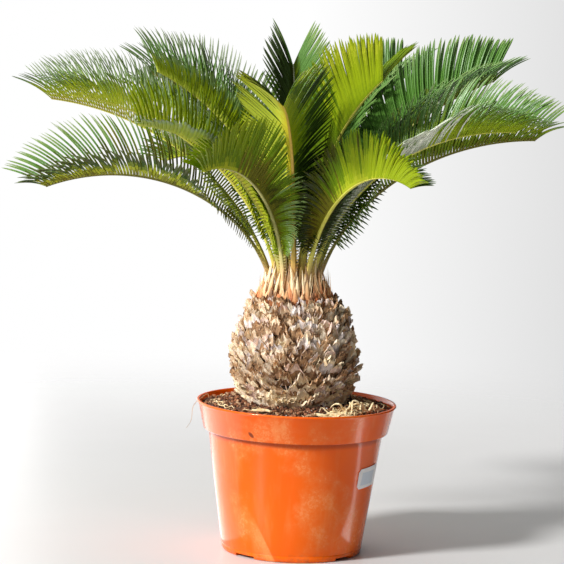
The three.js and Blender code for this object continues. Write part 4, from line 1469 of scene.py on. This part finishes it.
# %% Table of wings
EVEN = {"half": 1.6, "slat": 13, "long": 1, "down": 0, "forward": (0, 0), "foot": (1, 0.4)}
EVEN_SPACING = 3.6  # mm between leaflets along the rib
SPACING = {
    1: 3.0, 2: 2.7, 3: 3.0, 4: 2.9, 5: 4.4, 6: 3.4, 7: 1.7, 8: 2.3, 9: 2.6, 10: 2.0, 11: 1.6,
    12: 3.2, 13: 2.4, 14: 2.7, 15: 2.7,
}
WINGS = {
    (1, 1): {"half": 1.5, "slat": 15, "long": 0.84, "forward": (-24, -8), "foot": (0.5, 0.25)},
    (1, -1): {"half": 1.1, "slat": 20, "foot": (0.55, 1.1)},
    (2, 1): {"half": 0.95, "slat": 22, "foot": (0.35, 1.8)},
    (2, -1): {"half": 0.85, "slat": 24, "foot": (0.35, 1.2)},
    (3, 1): {"half": 1.05, "slat": 22, "long": 0.8, "down": 6, "foot": (0.7, 1.6)},
    (3, -1): {"half": 0.85, "slat": 24},
    (4, 1): {"half": 1.15, "slat": 16, "long": 0.64, "down": 10},
    (4, -1): {"half": 1.1, "slat": 20},
    (5, 1): {"half": 2.0, "slat": 8, "long": 0.55, "down": 18, "foot": (1, 0.8)},
    (5, -1): {"half": 1.7, "slat": 22, "long": 0.8, "forward": (-34, -26)},
    (6, 1): {"half": 1.1, "slat": 20},
    (6, -1): {"half": 1.0, "slat": 22},
    (7, 1): {"half": 1.25, "slat": 12, "foot": (0.62, 0.5)},
    (7, -1): {"half": 1.1, "slat": 12, "long": 0.55},
    (8, 1): {"half": 1.2, "slat": 14},
    (8, -1): {"half": 1.7, "slat": 3, "down": 20},
    (9, 1): {"half": 1.75, "slat": 4},
    (9, -1): {"half": 1.5, "slat": 5},
    (10, 1): {"half": 1.1, "slat": 12},
    (10, -1): {"slat": 8},
    (11, 1): {"half": 1.0, "slat": 16, "long": 0.5},
    (11, -1): {"half": 1.45, "slat": 10, "long": 0.84, "forward": (4, 10)},
    (12, 1): {"half": 1.2, "slat": 18},
    (12, -1): {"half": 1.5, "slat": 14, "foot": (0.8, 0.4)},
    (13, 1): {"half": 1.1, "slat": 18},
    (13, -1): {"half": 1.0, "slat": 28, "forward": (52, 14)},
    (14, 1): {"half": 1.9, "slat": 12, "foot": (1, 1)},
    (14, -1): {"half": 1.3, "slat": 18},
    (15, 1): {"half": 1.5, "slat": 14},
    (15, -1): {"half": 1.5, "slat": 14},
    (19, 1): {"half": 1.5, "long": 0.7, "foot": (0.6, 0.5)},
    (22, 1): {"half": 1.5, "long": 0.85, "foot": (0.35, 0.5)},
}
print("wings with a look of their own:", len(WINGS))

# %% [markdown]
# A leaflet's section is a shallow roof: a groove along the middle of the upper side, edges
# rolled down, and a raised vein below. Six corners are enough. It is turned a little round its
# own line, like the slat of a blind, which is what makes a wing look combed.

# %% Leaflet section and faces
SECTION = np.array([(-1, -0.3), (-0.55, 0.2), (0, -0.1), (0.55, 0.2), (1, -0.3), (0, -0.5)])
TOP_SIDES = 4  # sides of the section, counted from the first, that are on top
VEIN = 0.4  # mm that the last corner of the section stands out below
BLADE = np.array([0.85, 0.95, 1, 1, 1, 1, 1, 0.97, 0.9, 0.76, 0.46, 0.04])  # width at ALONG
RAGGED_BORDER = 0.1  # share of the length over which the parts of a wing run into each other

rings, sides = len(ALONG), len(SECTION)
LEAFLET_FACES = ring_faces(rings, sides)
STARTS = np.array([k for k in range(rings - 1) for _ in range(sides)] + [0, rings - 1])
ON_TOP = np.array([i < TOP_SIDES for _ in range(rings - 1) for i in range(sides)] + [True, True])


def leaflet_tints(n, hand, u, chance):
    """The finish number of each face of a leaflet at the share u, on one wing of frond n."""
    upper, under = RUNS[n]
    for upto, run in reversed(PART_RUNS.get((n + 1, hand), [])):
        if u < upto + chance.uniform(-RAGGED_BORDER, RAGGED_BORDER):
            upper = under = run
    last = len(upper) - 1
    place = STARTS * last / (rings - 2) + chance.uniform(-1.0, 1.0)
    place = np.where(STARTS < 1, 0, np.clip(np.round(place), 0, last)).astype(int)
    return np.where(ON_TOP, upper[place], under[place]).tolist()


print("faces on a leaflet:", len(LEAFLET_FACES))

# %% [markdown]
# Leaflets would cross the ribs of other fronds and poke into the bracts. So each is tried at five
# lengths and keeps the longest one that stays clear. Where none does, it is left out.

# %% Keep leaflets clear
CLEAR = {"rib": 3.0, "above": 33, "round": 50}  # mm from other ribs, and from the crown's middle
TRIED = (0.4, 0.55, 0.7, 0.85, 1.0)  # shares of full length
HEEL_POINTS = 3


def shortened(n, line):
    """Shares of full length that keep each leaflet clear of other ribs and of the bracts."""
    # stalks stand close together, so the points at the heel of a leaflet don't count
    others = np.concatenate([rib.path[::2] for k, rib in enumerate(RIBS) if k != n])
    root = line[:, :1]
    kept = np.zeros(len(line))
    for part in TRIED:
        tried = root + (line - root) * part
        points = tried[:, HEEL_POINTS:].reshape(-1, 1, 3)
        near = np.min(np.linalg.norm(points - others[None], axis=-1), axis=1).reshape(len(line), -1)
        tip = tried[:, -1]
        low = tip[:, 2] < CROWN["z"] + CLEAR["above"]
        inside = np.linalg.norm(tip - CROWN_MIDDLE, axis=-1) < CLEAR["round"]
        kept = np.where((near.min(axis=1) > CLEAR["rib"]) & ~(low & inside), part, kept)
    return kept


print("leaflets are tried at", len(TRIED), "lengths")

# %% [markdown]
# A wing is worked out in one go: the rule gives lengths and angles, the wing's own values change
# them, and the section is laid along every line.

# %% One frond's leaflets
def wing_corners(n, u, hand, chance):
    """Corners of the leaflets of one wing, and the share of its length that each keeps."""
    wing = {**EVEN, **WINGS.get((n + 1, hand), {})}
    foot_long, foot_wide = wing["foot"]
    length, spread, keel = leaflet_rule(u, chance)
    ragged = 1 if wing["long"] == 1 else chance.uniform(0.88, 1.1, len(u))
    length = length * wing["long"] * ragged * mix(foot_long, 1, share(u / 0.45))
    spread = spread - np.radians(mix(*wing["forward"], share((u - 0.5) / 0.25)))
    keel = keel - math.radians(wing["down"]) * share(u / 0.4)
    line, along, normal = leaflet_lines(RIBS[n], u, hand, length, spread, keel, chance)
    kept = shortened(n, line)
    line = line[:, :1] + (line - line[:, :1]) * kept[:, None, None]
    across = unit(np.cross(along, normal))
    tilt = np.radians(wing["slat"] + chance.uniform(-6, 6, len(u)))[:, None, None] * hand
    side = across * np.cos(tilt) + normal * np.sin(tilt)
    up = normal * np.cos(tilt) - across * np.sin(tilt)
    wide = wing["half"] * mix(foot_wide, 1, share(u / 0.4))[:, None] * BLADE
    x = wide[..., None] * SECTION[:, 0]
    z = wide[..., None] * SECTION[:, 1]
    z[..., -1] -= VEIN * BLADE
    corners = line[:, :, None] + x[..., None] * side[:, :, None] + z[..., None] * up[:, :, None]
    return corners, kept


def add_leaflets(heap, n):
    """Both wings of frond n. Returns how many leaflets it has."""
    chance = np.random.RandomState(100 + n)
    pairs = round(RIBS[n].length * (1 - FIRST) / SPACING.get(n + 1, EVEN_SPACING))
    u = (np.arange(pairs) + 0.5) / pairs
    made = 0
    for hand in (1, -1):
        corners, kept = wing_corners(n, u, hand, chance)
        for k in np.flatnonzero(kept):
            heap.add(corners[k], LEAFLET_FACES, leaflet_tints(n, hand, u[k], chance))
        made += np.count_nonzero(kept)
    return made


print("spacing:", min(SPACING.values()), "to", max(SPACING.values()), "mm")

# %% [markdown]
# The fronds are gathered in four groups, by the side of the plant that they are on, so that no
# mesh gets too heavy. Each group stands for the CAD blades of its own fronds.

# %% Leaflets of every frond
GROUPS = {
    "left": [1, 2, 3, 4, 5, 6],
    "front": [7, 8, 10, 11, 13],
    "right": [9, 12, 14, 15, 16],
    "back": [17, 18, 19, 20, 21, 22],
}
total = 0
for side_name, numbers in GROUPS.items():
    heap = Heap("leaflets_" + side_name, "frond_green", LEAF_FINISHES)
    for number in numbers:
        total += add_leaflets(heap, number - 1)
    stands_for = [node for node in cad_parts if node[:8] in {f"frond_{k:02d}" for k in numbers}]
    heap.make(*stands_for, crease=30)
print("leaflets:", total)

# %% [markdown]
# ## Roots on the soil
# Washed-out roots lie on the mix at the front right: a tangle of dry, straw-coloured strands. A
# few thick ones follow the rim and thin ones curl over them. Each is a tube along a wavy line.

# %% Dry roots
ROOT_FINISHES = [
    fibrous("root_straw", (214, 170, 112), (255, 236, 190), rough=0.8, stretch=0.6),
    fibrous("root_brown", (140, 98, 60), (206, 164, 114), rough=0.85, stretch=0.6),
]
STRAW, BROWN_ROOT = 0, 1  # their numbers
roots = Heap("root_strands", "dry_roots", ROOT_FINISHES)
chance = np.random.RandomState(41)


def strand(start, long, ring, thick, wave, high):
    """A root that lies along the rim: it starts at one azimuth and is long degrees long."""
    k = np.linspace(0, 1, 22)
    a = np.radians(mix(start, start + long, k))
    phase = chance.uniform(0, 6.28, 3)
    r = ring + wave * np.sin(5 * k + phase[0]) + 0.5 * wave * np.sin(13 * k + phase[1])
    lift = high * np.abs(np.sin(np.pi * k * chance.uniform(1, 2.5) + phase[2]))
    z = soil_height(r) + 1.2 + thick + lift
    line = around(a) * r[:, None] + z[:, None] * UPRIGHT
    return tube(line, thick * (0.35 + 0.65 * np.sin(np.pi * (0.08 + 0.84 * k))), 6)


# count, then ranges of the start, the length, the ring and the thickness, then wave, height
# and the share of brown ones
TANGLE = [
    (7, (-80, -64), (18, 30), (80, 91), (1.0, 1.7), 2.2, 1.6, 0),
    (18, (-78, -20), (12, 30), (70, 90), (0.35, 0.8), 4.0, 4.0, 0.25),
    (36, (0, 360), (-14, 14), (62, 92), (0.2, 0.5), 3.0, 1.5, 0.5),
]
for count, *ranges, wave, high, brown in TANGLE:
    for _ in range(count):
        corners = strand(*(chance.uniform(*span) for span in ranges), wave, high)
        tint = int(chance.choice(2, p=[1 - brown, brown])) if brown else STRAW
        roots.add_rings(corners, tint)
print("roots in the tangle:", sum(row[0] for row in TANGLE))

# %% [markdown]
# Thick strands arch up at the right end of the tangle. A few pale ones lie inside the left rim, a
# flat pale piece lies left of the middle, and one hair-thin root hangs over the rim.

# %% Single roots
for start, ring, high in ((-62, 76, 9), (-54, 84, 12), (-50, 78, 7), (-44, 86, 10), (-66, 82, 4)):
    roots.add_rings(strand(start, 18, ring, 1.15, 3.0, high), STRAW)
for start in (-172, -165, -160, -152):
    roots.add_rings(strand(start, 14, chance.uniform(80, 90), 0.55, 2.0, 2.0), STRAW)
roots.add_rings(strand(-122, 14, 80, 1.9, 0.6, 0.8), STRAW)

k = np.linspace(0, 1, 26)
hanging = np.stack([
    -88 - 22 * k + 2.5 * np.sin(9 * k),
    -8 - 14 * k + 3 * np.sin(7 * k),
    151.5 + 3.5 * np.sin(np.pi * share(k * 3)) - 30 * share((k - 0.3) / 0.7) ** 1.3,
], axis=-1)
roots.add_rings(tube(hanging, 0.32 * (1.15 - 0.7 * k), 5), BROWN_ROOT)
roots.make("surface_roots", crease=60)

# %% [markdown]
# ## The sticker
# A small paper label is stuck on the wall. The CAD node has the right shape, bent round the pot,
# so it stays and gets a finish: smooth white paper with one faint blank panel. The panel is a
# mask: a product of comparisons on the place of each point.

# %% Sticker paper
PANEL = {"Y": (-0.0485, -0.0265), "Z": (0.0755, 0.0885)}  # metres


def sticker_paper():
    f = Finish("sticker_paper")
    inside = [(f.axis(name) > low) * (f.axis(name) < high) for name, (low, high) in PANEL.items()]
    panel = inside[0] * inside[1]
    fibre = f.noise(900, 3)
    white = f.blend(f.steps(fibre, 0.35, 0.8) * 0.3, paint(255, 255, 255), paint(242, 245, 250))
    tone = f.blend(panel * 0.8, white, paint(214, 228, 242))
    return f.surface(Base_Color=tone, Roughness=0.45, Normal=f.bump(fibre, 0.1, 0.1))


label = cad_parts["label"]
label.data.materials.clear()
label.data.materials.append(sticker_paper())
print("label finish:", label.data.materials[0].name)

# %% [markdown]
# ## Check the size and finish
# The dressed plant has to stay where the CAD solids are. Both boxes are printed: the frame's box
# from the start, and the box of what was made.

# %% Sizes, and the end
made_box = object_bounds()
boxes = {"cad": [list(corner) for corner in cad_box], "made": [list(corner) for corner in made_box]}
for name, (low, high) in boxes.items():
    print(name, [round((b - a) / MM) for a, b in zip(low, high)], "mm")
